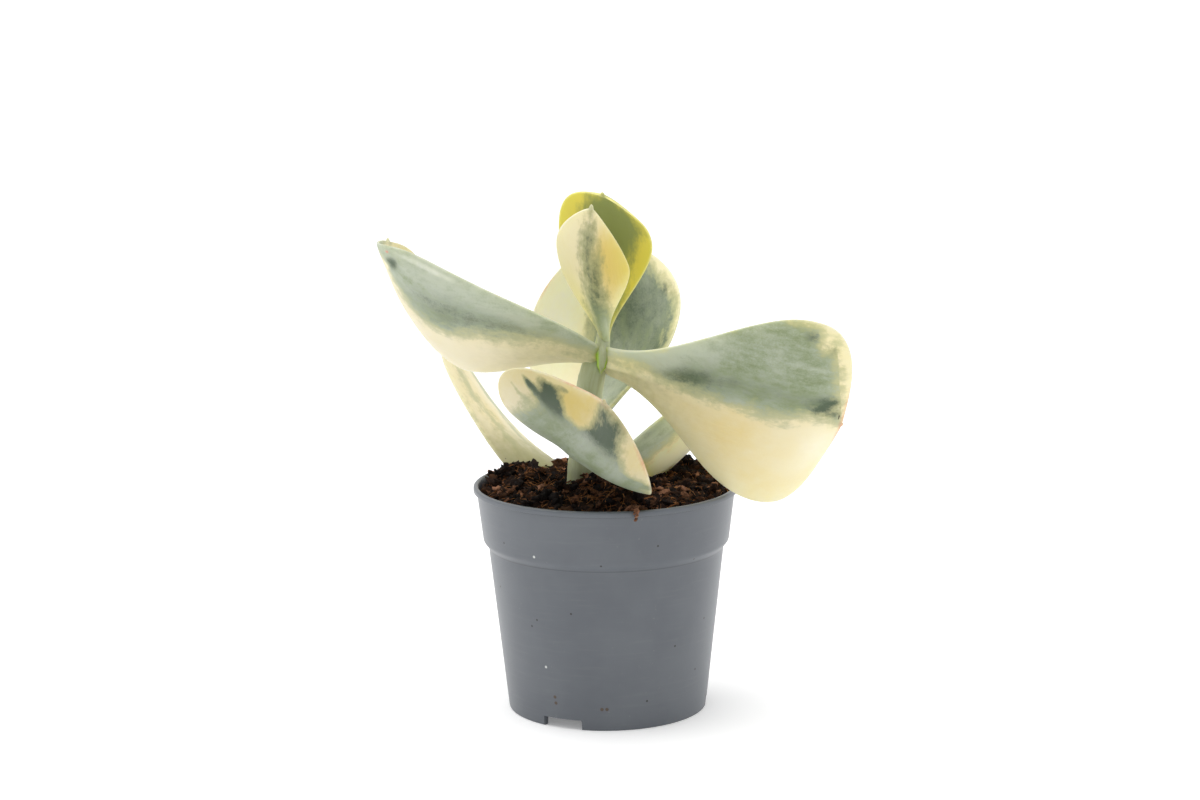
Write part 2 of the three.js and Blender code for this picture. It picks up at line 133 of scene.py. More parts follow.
# Hollows in the loose litter, and the litter's finer roughness as sizes and heights
SOIL_HOLLOWS = [dict(x=-17, y=-7, rise=-2.6, spread=6), dict(x=-4, y=-27, rise=-2, spread=4)]
SOIL_ROUGHNESS = [(2.6, 1.7), (1.2, 1.1), (0.6, 0.6)]
SOIL_RINGS = 110
SOIL_SEGMENTS = 420
SOIL_TONE = 0.18

# Loose crumbs keep off the stem. Their knobs are given as scales and heights on a ball of size 1,
# their sides as shares of it, and their lift as a share of their size
STEM_AT_SOIL = (-8.6, 0)
STEM_CLEARANCE = 5.2
CRUMB_SHAPES = 14
CRUMB_KNOBS = [(1.5, 0.9), (3.6, 0.6)]
CRUMB_SIDES = [(0.8, 1.6), (0.5, 1.0), (0.35, 0.8)]
CRUMB_TILT = 0.8
CRUMB_LIFT = (-0.1, 0.55)
CRUMB_MARGIN = 0.6
SMALL_CRUMB_POWER = 2.2
DARK_CRUMB_POWER = 1.6

# Fibres in the peat, in millimetres and radians
FIBRE_RINGS = 7
FIBRE_SIDES = 4
FIBRE_LENGTHS = (1.2, 10)
FIBRE_RADII = (0.05, 0.22)
FIBRE_BEND = 1.6
FIBRE_ARCH = (0.1, 0.9)
FIBRE_LIFT = 0.15
FIBRE_MARGIN = 0.8
FIBRE_TONES = (0.3, 1)

# Crumbs at the front rim and over the lip: their place, size and tone
SPILLED = [
    ((7.2, -37.6, 72.4), 3.0, 0.8),
    ((10.5, -36.5, 72.2), 1.8, 0.7),
    ((9.2, -41.9, 73.2), 0.9, 0.9),
    ((9.3, -43.0, 71.9), 0.9, 1),
    ((9.0, -42.9, 70.8), 0.55, 0.8),
]

# Stem: points on its middle line and the radius there, in millimetres from the pot's axis
STEM_LINE = [
    dict(at=(-3.5, 1.5, 26), radius=1.1),
    dict(at=(-6, 1.2, 40), radius=2.2),
    dict(at=(-8.2, 0.6, 55), radius=3.6),
    dict(at=(-8.6, 0, 68), radius=4.3),
    dict(at=(-7.7, 0, 79), radius=4.4),
    dict(at=(-6.6, 0, 90.4), radius=4.5),
    dict(at=(-4.9, 0, 103.4), radius=4.35),
    dict(at=(-3.4, 0, 110.5), radius=4.2),
    dict(at=(-1.6, 0, 115.7), radius=2.3),
    dict(at=(-0.4, 0, 121), radius=2),
    dict(at=(0, 0.2, 126), radius=0.7),
]
# The top internode's foot, which runs down between the two big leaves to a point
NODE_SHEATH = [
    dict(at=(-0.2, -0.8, 122), radius=1.9),
    dict(at=(-0.4, -2.2, 118), radius=2.1),
    dict(at=(-0.5, -3.9, 115), radius=2.35),
    dict(at=(-0.9, -4.7, 112.3), radius=1.6),
    dict(at=(-1.45, -4.7, 109.4), radius=0.2),
]
ROOTS = [
    dict(z=58, heading=20, reach=24, drop=16),
    dict(z=55, heading=100, reach=20, drop=20),
    dict(z=57, heading=172, reach=17, drop=18),
    dict(z=52, heading=235, reach=20, drop=22),
    dict(z=50, heading=305, reach=24, drop=20),
]
STEM_SIDES = 40
STEM_FLOW_RADIUS = 4

# Uneven girth of the stem, as shares of its radius and waves in radians per millimetre, and soft
# bands of colour round it, as the height of the middle, the reach and the strength
STEM_WAVES = [(0.015, 0.9), (0.01, 2.3)]
YOUNG_BANDS = [(115.2, 1.6, 0.9)]
SCAR_BANDS = [(121.2, 0.35, 1), (90, 0.5, 0.5)]
YOUNG_TOP = (116, 122)
YOUNG_TOP_STRENGTH = 0.15

ROOT_RADIUS = 1.3
ROOT_END_RADIUS = 0.6
ROOT_RINGS = 12
ROOT_SIDES = 10

# Half of a leaf's thickness at its petiole, at the blade's middle and at the margin
LOW_THICKNESS = (2.6, 1.2, 0.45)
MAIN_THICKNESS = (2.4, 1.1, 0.42)
TOP_THICKNESS = (1.5, 0.9, 0.4)

# Leaves, in millimetres and degrees. The heading, rise and roll of the midrib are given at the
# base, the middle and the tip. The half width, fold, cup, taper and bluntness are given for the
# left and the right half, looking along the leaf with its upper face up.
# The tone is painted light and shade, brightening or darkening the whole leaf for the light that falls on
# it; the layers say how much of each tint it has all over.
# A row of the green zone is a place from base to tip and the zone's two edges across the leaf,
# where 1 is the left margin and -1 the right one.
# A patch adds to its layer round a place: the place along and across the leaf, the reach along
# and across it in millimetres, and how much it adds.
LEAVES = {
    "leaf_low_left": dict(
        base=(-9.5, 1.7, 61.8), length=91, half_width=(13, 12.5), petiole=6.3, widest=0.64,
        heading=(146, 121, 149), rise=(49, 24, 72), roll=(-37, 30, 19),
        fold=(-12, 1), cup=(-5, -2), taper=(1.1, 1.1), bluntness=(2.2, 1.9),
        thickness=LOW_THICKNESS, tone=0.86,
        layers=dict(warm=0.1, bloom_and_highlight=0.5, blush=0.1, young=0.04, olive=0.05),
        green=[(0, -1.3, 1.3), (0.1, -1.2, 1.1), (0.2, -0.3, 0.3), (0.3, 0.3, -0.3), (1, 0.6, -0.6)],
        patches=dict(
            young=[(0.17, 0.4, 7, 9, 0.5)],
            olive=[(0.25, 0, 20, 30, 1.1)],
            tone=[(0.15, 0, 20, 30, -0.2)],
            warm=[(0.6, 0.3, 22, 7, 0.25)],
            green=[(0.45, 1, 26, 1.8, 6), (0.72, -0.62, 16, 0.7, 8), (0.7, -0.95, 20, 1.2, 9)],
            scar=[(0.2, 0.42, 1.7, 1.2, 1.8), (0.31, 0.88, 0.4, 0.4, 0.9)],
        ),
    ),
    "leaf_low_right": dict(
        base=(-5.4, 0, 58.2), length=88, half_width=(19, 19), petiole=6.7, widest=0.66,
        heading=(-4, 14, 32), rise=(47, 35, 29), roll=(-68, -40, -43),
        fold=(12, 14), cup=(23, 15), taper=(1.1, 1.1), bluntness=(2.1, 2.1),
        # Painted light: the high tone, and in part the strong bloom, lift the shade that this leaf lies
        # in
        thickness=LOW_THICKNESS, tone=1.35,
        layers=dict(warm=0.05, bloom_and_highlight=0.85, blush=0.1, young=0),
        green=[
            (0, -1.2, -0.3), (0.3, -1.2, -0.45), (0.5, -1.1, -0.42), (0.85, -0.9, -0.35),
            (1, -0.4, -0.25),
        ],
        patches=dict(
            young=[(0.27, -0.3, 5, 12, 0.6)],
            dark=[(0.4, -0.9, 9, 2.5, 0.45), (0.46, -0.62, 12, 1.0, 0.4)],
            pale=[(0.42, -0.52, 16, 1.2, 0.8)],
        ),
    ),
    "leaf_front": dict(
        base=(-5.1, -3.9, 89.4), length=70, half_width=(25.5, 34.5), petiole=4.5, widest=0.53,
        heading=(-124, -75, -83), rise=(-4, 14, 67), roll=(-15, -49, -66),
        fold=(-4, -12), cup=(37, 13), taper=(1.8, 1.6), bluntness=(1.5, 1.7),
        thickness=MAIN_THICKNESS, tone=0.7,
        layers=dict(warm=0.25, bloom_and_highlight=0.34, blush=0.3, dark=0.3),
        green=[
            (0, -1.1, 1.1), (0.35, -0.82, 1.02), (0.45, -0.66, 1), (0.6, -0.62, 0.98),
            (0.68, -0.6, 0.9), (0.72, -0.55, 0.62), (0.8, -0.3, 0.56), (0.86, -0.14, 0.56),
            (0.9, -0.12, 0.7), (0.94, -0.1, 0.86), (1, -0.1, 0.7),
        ],
        patches=dict(
            warm=[(0.86, -0.45, 14, 10, 0.6), (0.84, 0.75, 8, 8, 0.15)],
            green=[
                (0.54, -0.88, 1.6, 5, 7), (0.655, -0.84, 2, 5, 11), (0.775, -0.82, 4.6, 5.5, 10),
                (0.7, -0.62, 5, 5, 6), (0.865, -0.8, 2.2, 2.4, 8), (0.8, -0.3, 6, 5, -5),
                (0.668, 0.85, 1.5, 6, 7),
            ],
            dark=[
                (0.655, -0.84, 1.4, 4, 0.6), (0.775, -0.82, 4, 6, 1.4), (0.7, -0.6, 4, 6, 0.9),
                (0.865, -0.8, 2, 2.5, 1.1), (0.955, 0.15, 4, 4, 1.2), (0.89, 0, 6, 6, 0.9),
                (0.955, 0.6, 2, 2, 1), (0.915, 0.88, 2, 2, 1), (0.84, 0.15, 7, 12, 0.5),
            ],
            bloom_and_highlight=[(0.75, 0.1, 10, 12, 0.35)],
            red=[(0.92, -1, 6, 1, 0.9), (0.83, 1, 6, 1.4, 0.8), (1, 0, 1.6, 1.6, 0.5)],
            pale=[(0.775, -0.8, 0.5, 0.5, 1.2), (0.755, -0.78, 0.35, 0.35, 1.2)],
        ),
    ),
    "leaf_back": dict(
        base=(-5.4, 2.9, 91), length=75.5, half_width=(26, 27), petiole=4.8, widest=0.52,
        heading=(90, 77, 110), rise=(-7, 60, 70), roll=(-16, 6, 34),
        fold=(0, 18), cup=(25, 36), taper=(1.4, 1.5), bluntness=(2.5, 2.6),
        thickness=MAIN_THICKNESS, tone=0.95,
        layers=dict(warm=0, bloom_and_highlight=0.4, blush=0.15, dark=0.5, pale=0.1),
        green=[
            (0, -1.2, 0.6), (0.2, -1.1, 0.3), (0.35, -1, 0.05), (0.45, -1, 0.1), (0.55, -0.93, 0.2),
            (0.64, -0.95, 0.2), (0.73, -0.95, 0.2), (0.8, -0.86, 0.2), (0.85, -0.8, 0.15),
            (0.9, -0.74, 0.05), (0.95, -0.55, 0), (1, -0.2, -0.05),
        ],
        patches=dict(
            # Painted light: the tone and pale patches brighten the left half for the light that shines
            # through it from behind
            tone=[(0.65, 0.7, 30, 16, 0.28)],
            pale=[(0.65, 0.7, 30, 16, 0.7)],
            warm=[(0.76, 0.8, 8, 5, 0.25)],
            dark=[(0.79, -0.9, 2.6, 2.4, 0.9), (0.7, -0.35, 14, 9, 0.35), (0.45, -0.8, 14, 4, 0.3)],
            red=[(0.77, 1, 6, 1, 0.8)],
            bloom_and_highlight=[(0.3, -0.3, 16, 12, 0.4)],
        ),
    ),
    "leaf_big_left": dict(
        base=(-2.5, -0.7, 114.5), length=93.5, half_width=(24, 25.5), petiole=4.3, widest=0.71,
        heading=(199, 153, 101), rise=(17, 11.5, 73), roll=(42.5, 60, 51),
        fold=(-2, 1), cup=(26, 32), taper=(1, 1.4), bluntness=(2.3, 2.2),
        thickness=MAIN_THICKNESS, tone=0.9,
        layers=dict(warm=0.1, bloom_and_highlight=0.5, blush=0.15, pale=0.25, dark=0.12),
        green=[
            (0, 0.45, 1.4), (0.14, 0.5, 1.4), (0.23, 0.3, 1.4), (0.34, 0.2, 1.4), (0.43, 0.16, 1.4),
            (0.52, 0.05, 1.4), (0.65, 0.05, 1.4), (0.73, 0.2, 1.4), (0.8, 0.32, 1.4), (0.84, 0.5, 1.4),
            (0.9, 0.6, 1.4), (1, 0.4, 1.5),
        ],
        patches=dict(
            young=[(0.0, 0.85, 2, 2.5, 1.3)],
            # Painted light and shade: the tone patches lift the shade at the leaf's base and darken its
            # lower half
            tone=[(0.12, -0.2, 28, 20, 0.26), (0.5, -0.5, 40, 14, -0.1)],
            olive=[(0.15, -0.1, 24, 9, 0.6)],
            dark=[
                (0.81, 0.68, 4, 2.6, 1.0), (0.58, 0.34, 20, 7, 0.32), (0.42, 0.42, 20, 6, 0.3),
                (0.28, 0.5, 12, 3, 0.3),
            ],
            # Painted highlight: the first pale patch and the bloom patch below stand for light on the
            # ridge under the upper margin
            pale=[(0.62, 0.9, 20, 1.6, 1.0), (0.5, -0.95, 22, 1, 0.8)],
            bloom_and_highlight=[(0.5, 0.75, 32, 7, 0.55)],
            red=[(0.85, 0.86, 1.2, 0.8, 1.3), (0.74, -0.05, 8, 0.8, 0.4)],
            green=[(0.86, 0.5, 3, 1.6, -9)],
        ),
    ),
    "leaf_big_right": dict(
        base=(1.3, -2.2, 112.9), length=82.5, half_width=(30.5, 34.5), petiole=5.6, widest=0.79,
        heading=(-48, -16, 30), rise=(-5, -17, 0), roll=(-70, -82, -62),
        fold=(-1, -2), cup=(14, 4), taper=(2.3, 2.2), bluntness=(2.3, 2.7),
        thickness=MAIN_THICKNESS, tone=0.96,
        layers=dict(warm=0.12, bloom_and_highlight=0.42, blush=0.12, pale=0.1, dark=0.12),
        green=[
            (0, -1.3, -0.6), (0.1, -1.3, -0.55), (0.18, -1.25, -0.42), (0.3, -1.2, -0.1),
            (0.5, -1.15, -0.06), (0.65, -1.06, -0.05), (0.72, -1, -0.05), (0.78, -0.97, -0.06),
            (0.81, -0.93, -0.08), (0.84, -0.76, -0.09), (0.865, -0.8, -0.09), (0.89, -0.88, -0.08),
            (0.92, -0.68, -0.08), (0.95, -0.46, -0.07), (0.97, -0.34, -0.05), (1, -0.05, -0.03),
        ],
        patches=dict(
            young=[(0.0, -0.85, 2, 2.5, 1.3), (0.12, -0.6, 9, 5, 0.25)],
            # Painted light: the tone patch lifts the shade at the leaf's base, and the bloom patches
            # below paint a highlight, with some real bloom, along the upper edge near the base
            tone=[(0.08, 0, 26, 20, 0.26)],
            bloom_and_highlight=[(0.05, -0.6, 20, 6, 0.6), (0.25, -0.85, 18, 4, 0.8)],
            olive=[(0.12, 0.2, 20, 8, 0.7)],
            dark=[
                (0.91, -0.2, 6, 4.5, 0.9), (0.955, -0.3, 3, 3, 0.6), (0.36, -0.32, 9, 5, 0.55),
                (0.5, -0.3, 14, 4, 0.35), (0.79, -0.86, 3, 2.5, 0.6), (0.885, -0.8, 3.5, 2, 0.7),
                (0.72, -0.25, 12, 5, 0.3),
            ],
            warm=[(0.55, 0.3, 16, 9, 0.35), (0.75, 0.75, 10, 8, 0.25)],
            pale=[(0.92, 0.3, 8, 10, 0.5)],
            red=[(1, 0.02, 1.6, 1.6, 0.9), (0.9, 1, 9, 0.8, 0.5)],
            scar=[(0.975, -0.16, 0.4, 1.4, 0.8)],
        ),
    ),
    "leaf_top_front": dict(
        base=(0.1, -1.4, 120), length=47.5, half_width=(12.5, 14), petiole=1.7, widest=0.51,
        heading=(-101, -111, -56), rise=(57, 69, 75), roll=(16, -8, -12),
        fold=(38, 28), cup=(32, -5), taper=(2, 2.1), bluntness=(1.4, 1.7),
        thickness=TOP_THICKNESS, tone=0.95,
        layers=dict(warm=0.1, bloom_and_highlight=0.3, dark=1.1, young=0.08),
        green=[
            (0, -1.2, 1.2), (0.15, -0.8, 1), (0.25, -0.45, 0.5), (0.34, -0.26, 0.2),
            (0.45, -0.18, 0.12), (0.54, -0.15, 0.12), (0.67, -0.16, 0.12), (0.79, -0.15, 0.1),
            (0.88, -0.08, 0.06), (0.95, -0.04, 0.02), (1, -0.02, 0),
        ],
        patches=dict(
            warm=[(0.62, 0.62, 13, 7, 0.9)],
            young=[(0.5, 0.9, 14, 4, 0.25), (0.35, -0.7, 12, 5, 0.25), (0.0, 0, 16, 8, 0.2)],
            dark=[(0, 0, 16, 10, -1)],
            tone=[(0, 0, 16, 10, 0.35)],
            scar=[(0.71, 0.02, 3.4, 0.22, 0.75)],
        ),
    ),
    "leaf_top_back": dict(
        base=(0.1, 1.1, 120.3), length=48, half_width=(15, 18), petiole=1.7, widest=0.72,
        heading=(92, 81, 87), rise=(57, 89, 124), roll=(14, 1, -26),
        fold=(-2, 4), cup=(13, 29), taper=(1.6, 1.7), bluntness=(2.9, 2.8),
        thickness=TOP_THICKNESS, tone=0.95,
        layers=dict(warm=1, bloom_and_highlight=0.1, young=0.75, dark=0.3),
        green=[
            (0, -1.2, 1.2), (0.2, -0.8, 1), (0.4, -0.6, 0.7), (0.55, -0.58, 0.6), (0.65, -0.66, 0.6),
            (0.75, -0.78, 0.56), (0.85, -0.84, 0.5), (0.92, -0.86, 0.45), (1, -0.8, 0.4),
        ],
        patches=dict(
            dark=[(0.7, -0.2, 18, 3, 0.25)],
        ),
    ),
}
LAYER_NAMES = [
    "green", "edge", "dark", "warm", "bloom_and_highlight", "blush", "young", "scar", "pale", "olive", "red", "tone",
]
ZONE_STEPS = 90
LEAF_RINGS = 130
LEAF_HALF_COLUMNS = 36
LEAF_RING_CROWDING = 1.8

# Finer details that all leaves share, as in the solids
MIDRIB_STEPS = 200
FOLD_REACH = 0.25
BASE_CUP_SHARE = 0.3
CUP_FULL_AT = 0.5
SECTION_FULLNESS = 2.4
PETIOLE_FADE_POWER = 3
TIP_THINNING = 0.35
TIP_THINNING_POWER = 8
TIP_HALF_WIDTH = 0.8
KEEL_HEIGHT = 0.8
KEEL_REACH = 0.18
BASE_RINGS = [(3, 0.45), (2.2, 0.8), (1.2, 0.94)]
MUCRO_RINGS = [(0.5, 0.85), (0.85, 0.6), (1.1, 0.35), (1.2, 0.12)]
BLADE_WAVE = 0.35
BLADE_WAVE_LENGTH = 22
BLADE_WAVE_GROWTH = (0.1, 0.4)
MARGIN_ROUNDING = 1.3
FLOW_SHIFT = 37

# The photograph's camera, in millimetres from the pot's axis on the ground, and degrees
CAMERA_PLACE = (-1.61, -899.22, 269.68)
CAMERA_PITCH = 10.678
CAMERA_ROLL = 0.5303
SENSOR_WIDTH = 36
LENS = 85.94

# Light of the studio all round, and from the side the camera stands on, with the directions
# along Y between which one turns into the other
STUDIO_LIGHT = 1.15
FRONT_LIGHT = 0.42
LIGHT_CHANGE = (-0.9, 0.1)

# The lamp overhead and half the floor's side, in metres, and the lamp's power in watts
LAMP_PLACE = (-0.25, 0, 1.1)
LAMP_TARGET = (0, 0, 0.08)
LAMP_SIZE = 1.0
LAMP_POWER = 6
FLOOR_HALF = 15


# Small helpers

def mix(first, second, share):
    return first + (second - first) * share


def smoothstep(x, low, high):
    x = np.clip((x - low) / (high - low), 0, 1)
    return x * x * (3 - 2 * x)


def hump(x, middle, reach):
    """A smooth rise to 1 round the middle."""
    return np.exp(-((x - middle) / reach) ** 2)


def unit(vectors):
    return vectors / np.linalg.norm(vectors, axis=-1, keepdims=True)


def srgb(code):
    """The linear colour of a web colour code."""
    shares = [int(code[i:i + 2], 16) / 255 for i in (1, 3, 5)]
    linear = [x / 12.92 if x <= 0.04045 else ((x + 0.055) / 1.055) ** 2.4 for x in shares]
    return (*linear, 1.0)


def placed(points):
    """Points given in millimetres from the pot's axis, in metres in the frame."""
    return np.asarray(points, float) * MM + AXIS


def closed_skin(rings, **values):
    """A closed skin over rings of points: its points, its faces and its values at the points."""
    loops, count = rings.shape[:2]
    flat = {key: value.reshape(loops * count, -1).squeeze() for key, value in values.items()}
    return rings.reshape(-1, 3), loop_faces(loops, count), flat


def mesh_piece(name, parts, smooth_angle=None):
    """A mesh object in the frame, joined from parts of points in millimetres, faces and values."""
    faces, total = [], 0
    for points, part_faces, _ in parts:
        faces += [tuple(i + total for i in face) for face in part_faces]
        total += len(points)
    points = placed(np.concatenate([part[0] for part in parts]))
    mesh = bpy.data.meshes.new(name)
    mesh.from_pydata(points.tolist(), [], faces)
    for key in parts[0][2]:
        values = np.concatenate([part[2][key] for part in parts]).astype(np.float32)
        kind, field = ("FLOAT_VECTOR", "vector") if values.ndim == 2 else ("FLOAT", "value")
        mesh.attributes.new(key, kind, "POINT").data.foreach_set(field, values.ravel())
    mesh.validate()
    mesh.shade_smooth()
    if smooth_angle is not None:
        mesh.set_sharp_from_angle(angle=math.radians(smooth_angle))
    piece = bpy.data.objects.new(name, mesh)
    bpy.context.scene.collection.objects.link(piece)
    return piece


def finish_piece(piece, material, slot, *nodes):
    """Gives a piece its material and ties it to the frame."""
    piece.data.materials.clear()
    piece.data.materials.append(material)
    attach(piece, BODY)
    if nodes:
        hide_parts(*nodes)


def loop_faces(loops, count):
    """Faces of a skin over loops of the same number of points, with its two ends closed."""
    faces = []
    for ring in range(loops - 1):
        for i in range(count):
            a, b = ring * count + i, ring * count + (i + 1) % count
            faces.append((a, b, b + count, a + count))
    faces.append(tuple(reversed(range(count))))
    faces.append(tuple(range((loops - 1) * count, loops * count)))
    return faces


# Materials

class Shader:
    """A material, with short ways to add nodes to it."""

    def __init__(self, name):
        self.material = bpy.data.materials.new(name)
        self.material.use_nodes = True
        self.tree = self.material.node_tree
        self.surface = self.tree.nodes["Principled BSDF"]

    def feed(self, socket, value):
        if isinstance(value, bpy.types.NodeSocket):
            self.tree.links.new(value, socket)
        elif value is not None:
            socket.default_value = value

    def node(self, kind, *inputs, **settings):
        made = self.tree.nodes.new("ShaderNode" + kind)
        for key, value in settings.items():
            setattr(made, key, value)
        for socket, value in zip(made.inputs, inputs):
            self.feed(socket, value)
        return made

    def set(self, **sockets):
        """Feeds the surface's sockets, named with _ for each space."""
        for key, value in sockets.items():
            self.feed(self.surface.inputs[key.replace("_", " ")], value)

    def value_of(self, attribute):
        return self.node("Attribute", attribute_name=attribute).outputs["Fac"]

    def vector_of(self, attribute):
        return self.node("Attribute", attribute_name=attribute).outputs["Vector"]

    def place(self):
        return self.node("TexCoord").outputs["Object"]

    def maths(self, operation, *values):
        return self.node("Math", *values, operation=operation).outputs[0]

    def sum(self, *values):
        total = values[0]
        for value in values[1:]:
            total = self.maths("ADD", total, value)
        return total

    def swing(self, value, size):
        """A noise value from 0 to 1, as a swing of the given size about 0."""
        return self.maths("MULTIPLY", self.maths("SUBTRACT", value, 0.5), size)

    def stir(self, value, *noises):
        """A value with noises added, each as a swing of its own size."""
        return self.sum(value, *(self.swing(noise, size) for noise, size in noises))

    def stretch(self, vector, x, y, z):
        return self.node("VectorMath", vector, (x, y, z), operation="MULTIPLY").outputs[0]

    def noise(self, vector, scale, detail=4, roughness=0.55):
        made = self.node("TexNoise", vector)
        made.inputs["Scale"].default_value = scale
        made.inputs["Detail"].default_value = detail
        made.inputs["Roughness"].default_value = roughness
        return made.outputs[0]

    def flowing(self, flow, across, lengthwise, detail, roughness):
        """A noise over a grown skin, with its own scales across and along it."""
        return self.noise(self.stretch(flow, across, lengthwise, 1), 1, detail, roughness)

    def soften(self, value, low, high):
        """0 below low, 1 above high and a smooth rise between them. Low may be above high."""
        made = self.node("MapRange", value, interpolation_type="SMOOTHSTEP")
        made.inputs["From Min"].default_value = low
        made.inputs["From Max"].default_value = high
        return made.outputs[0]

    def blend(self, share, first, second):
        made = self.tree.nodes.new("ShaderNodeMix")
        made.data_type = "RGBA"
        for index, value in ((0, share), (6, first), (7, second)):
            self.feed(made.inputs[index], value)
        return made.outputs[2]

    def bump(self, height, strength, distance, normal=None):
        made = self.node("Bump")
        made.inputs["Strength"].default_value = strength
        made.inputs["Distance"].default_value = distance
        self.feed(made.inputs["Height"], height)
        self.feed(made.inputs["Normal"], normal)
        return made.outputs[0]


def leaf_material():
    """Waxy leaf skin: cream and grey-green zones with feathered edges, a pale bloom, pink margins,
    painted highlights and painted light and shade.
    """
    shader = Shader("leaf_skin")
    flow = shader.vector_of("flow")
    layer = {name: shader.value_of(name) for name in LAYER_NAMES}

    veins = shader.flowing(flow, 0.24, 0.06, 4, 0.6)
    streaks = shader.flowing(flow, 0.6, 0.16, 5, 0.65)
    clouds = shader.flowing(flow, 0.11, 0.07, 3, 0.55)
    mottle = shader.flowing(flow, 0.4, 0.26, 5, 0.65)
    speckle = shader.flowing(flow, 2.0, 1.5, 5, 0.75)

    feathered = shader.stir(layer["green"], (veins, 8), (mottle, 7), (streaks, 3), (speckle, 1.5))
    pigment = shader.soften(feathered, -3.2, 3.4)

    # The bloom layer is the wax bloom, and in places a painted highlight; it lightens the greens toward a
    # pale grey
    bloom_and_highlight = shader.stir(
        layer["bloom_and_highlight"], (clouds, 0.9), (veins, 1.1), (mottle, 1.1), (streaks, 0.6), (speckle, 0.8))
    bloom_and_highlight_share = shader.soften(bloom_and_highlight, -0.1, 1.2)
    dark = shader.stir(layer["dark"], (veins, 0.5), (mottle, 0.8), (speckle, 0.6))
    darkened = shader.soften(dark, 0.25, 1.1)
    green = shader.blend(bloom_and_highlight_share, srgb("#86946a"), srgb("#c0c7b6"))
    green = shader.blend(darkened, green, srgb("#4f5f46"))

    warmth = shader.stir(layer["warm"], (clouds, 0.5), (mottle, 0.35))
    cream = shader.blend(shader.soften(warmth, 0, 1), srgb("#ebe2c0"), srgb("#e3cc72"))
    pale = shader.stir(layer["pale"], (mottle, 0.5))
    cream = shader.blend(shader.soften(pale, 0.1, 1.1), cream, srgb("#f5f0dd"))
    skin = shader.blend(pigment, cream, green)
    border = shader.maths("MULTIPLY", pigment, shader.maths("SUBTRACT", 1.0, pigment))
    skin = shader.blend(shader.maths("MULTIPLY", border, 1.6), skin, srgb("#b3b57a"))
    # Partly painted light: strong pale turns the skin near white, for pale streaks and also for painted
    # highlights on ridges and painted light shining through from behind
    skin = shader.blend(shader.soften(pale, 0.7, 1.6), skin, srgb("#e4e6dc"))
    olive = shader.soften(shader.stir(layer["olive"], (mottle, 0.7)), 0.05, 1.3)
    skin = shader.blend(olive, skin, srgb("#b3af7c"))

    fresh = shader.blend(pigment, srgb("#e6dd60"), srgb("#97a25c"))
    skin = shader.blend(shader.soften(layer["young"], 0, 1), skin, fresh)

    rim = shader.soften(layer["edge"], 0.7, 0.1)
    skin = shader.blend(shader.maths("MULTIPLY", rim, 0.2), skin, srgb("#e6e4d0"))
    patchy = shader.flowing(flow, 0.3, 0.12, 3, 0.6)
    margin = shader.soften(layer["edge"], 1.2, 0.2)
    flushed = shader.soften(shader.stir(layer["blush"], (patchy, 0.9)), 0.2, 1)
    skin = shader.blend(shader.maths("MULTIPLY", margin, flushed), skin, srgb("#dfa283"))
    reddened = shader.soften(shader.stir(layer["red"], (mottle, 0.9)), 0.2, 1.3)
    skin = shader.blend(shader.maths("MULTIPLY", reddened, 0.75), skin, srgb("#d9806a"))
    scar = shader.soften(shader.stir(layer["scar"], (speckle, 0.4)), 0.35, 0.7)
    skin = shader.blend(scar, skin, srgb("#3a2a12"))
    # Painted light and shade: the tone layer brightens or darkens the colour for the light and shade that
    # fall on each leaf
    skin = shader.node("HueSaturation", 0.5, 1.0, layer["tone"], 1.0, skin).outputs[0]

    grain = shader.noise(shader.place(), 900, 4, 0.7)
    relief = shader.bump(veins, 0.2, 0.001)
    relief = shader.bump(streaks, 0.12, 0.0005, relief)
    relief = shader.bump(grain, 0.16, 0.00025, relief)
    rough = shader.sum(0.44, shader.maths("MULTIPLY", bloom_and_highlight_share, 0.14), shader.swing(speckle, 0.08))

    shader.set(Base_Color=skin, Roughness=rough, Normal=relief)
    shader.set(Subsurface_Weight=0.5, Subsurface_Scale=0.003, Specular_IOR_Level=0.4)
    shader.set(Subsurface_Radius=(1.0, 0.95, 0.6), Sheen_Weight=0.06, Sheen_Roughness=0.5)
    return shader.material


def stem_material():
    """Smooth pale green stem skin with a khaki cast, faint streaks and bright young axils."""
    shader = Shader("stem_skin")
    flow = shader.vector_of("flow")
    streaks = shader.flowing(flow, 1.0, 0.12, 4, 0.6)
    speckle = shader.noise(shader.place(), 700, 4, 0.65)
    skin = shader.blend(shader.soften(streaks, 0.3, 0.7), srgb("#adb28a"), srgb("#b9c19c"))
    skin = shader.blend(shader.value_of("young"), skin, srgb("#9cc02a"))
    skin = shader.blend(shader.maths("MULTIPLY", shader.value_of("scar"), 0.7), skin, srgb("#8d8862"))
    relief = shader.bump(speckle, 0.15, 0.0003)
    shader.set(Base_Color=skin, Roughness=0.48, Normal=relief)
    shader.set(Subsurface_Weight=0.4, Subsurface_Scale=0.003, Subsurface_Radius=(0.9, 1.0, 0.4))
    return shader.material


def pot_marks(shader, radius, pixels):
    """Where small marks of one radius lie on the pot's outside."""
    place = shader.place()
    outer, inner = (radius * share * MM for share in MARK_SOFTNESS)
    marked = 0.0
    for pixel in pixels:
        spot = tuple(placed(seen_on_pot(pixel)))
        away = shader.node("VectorMath", place, spot, operation="DISTANCE").outputs["Value"]
        marked = shader.maths("MAXIMUM", marked, shader.soften(away, outer, inner))
    return marked


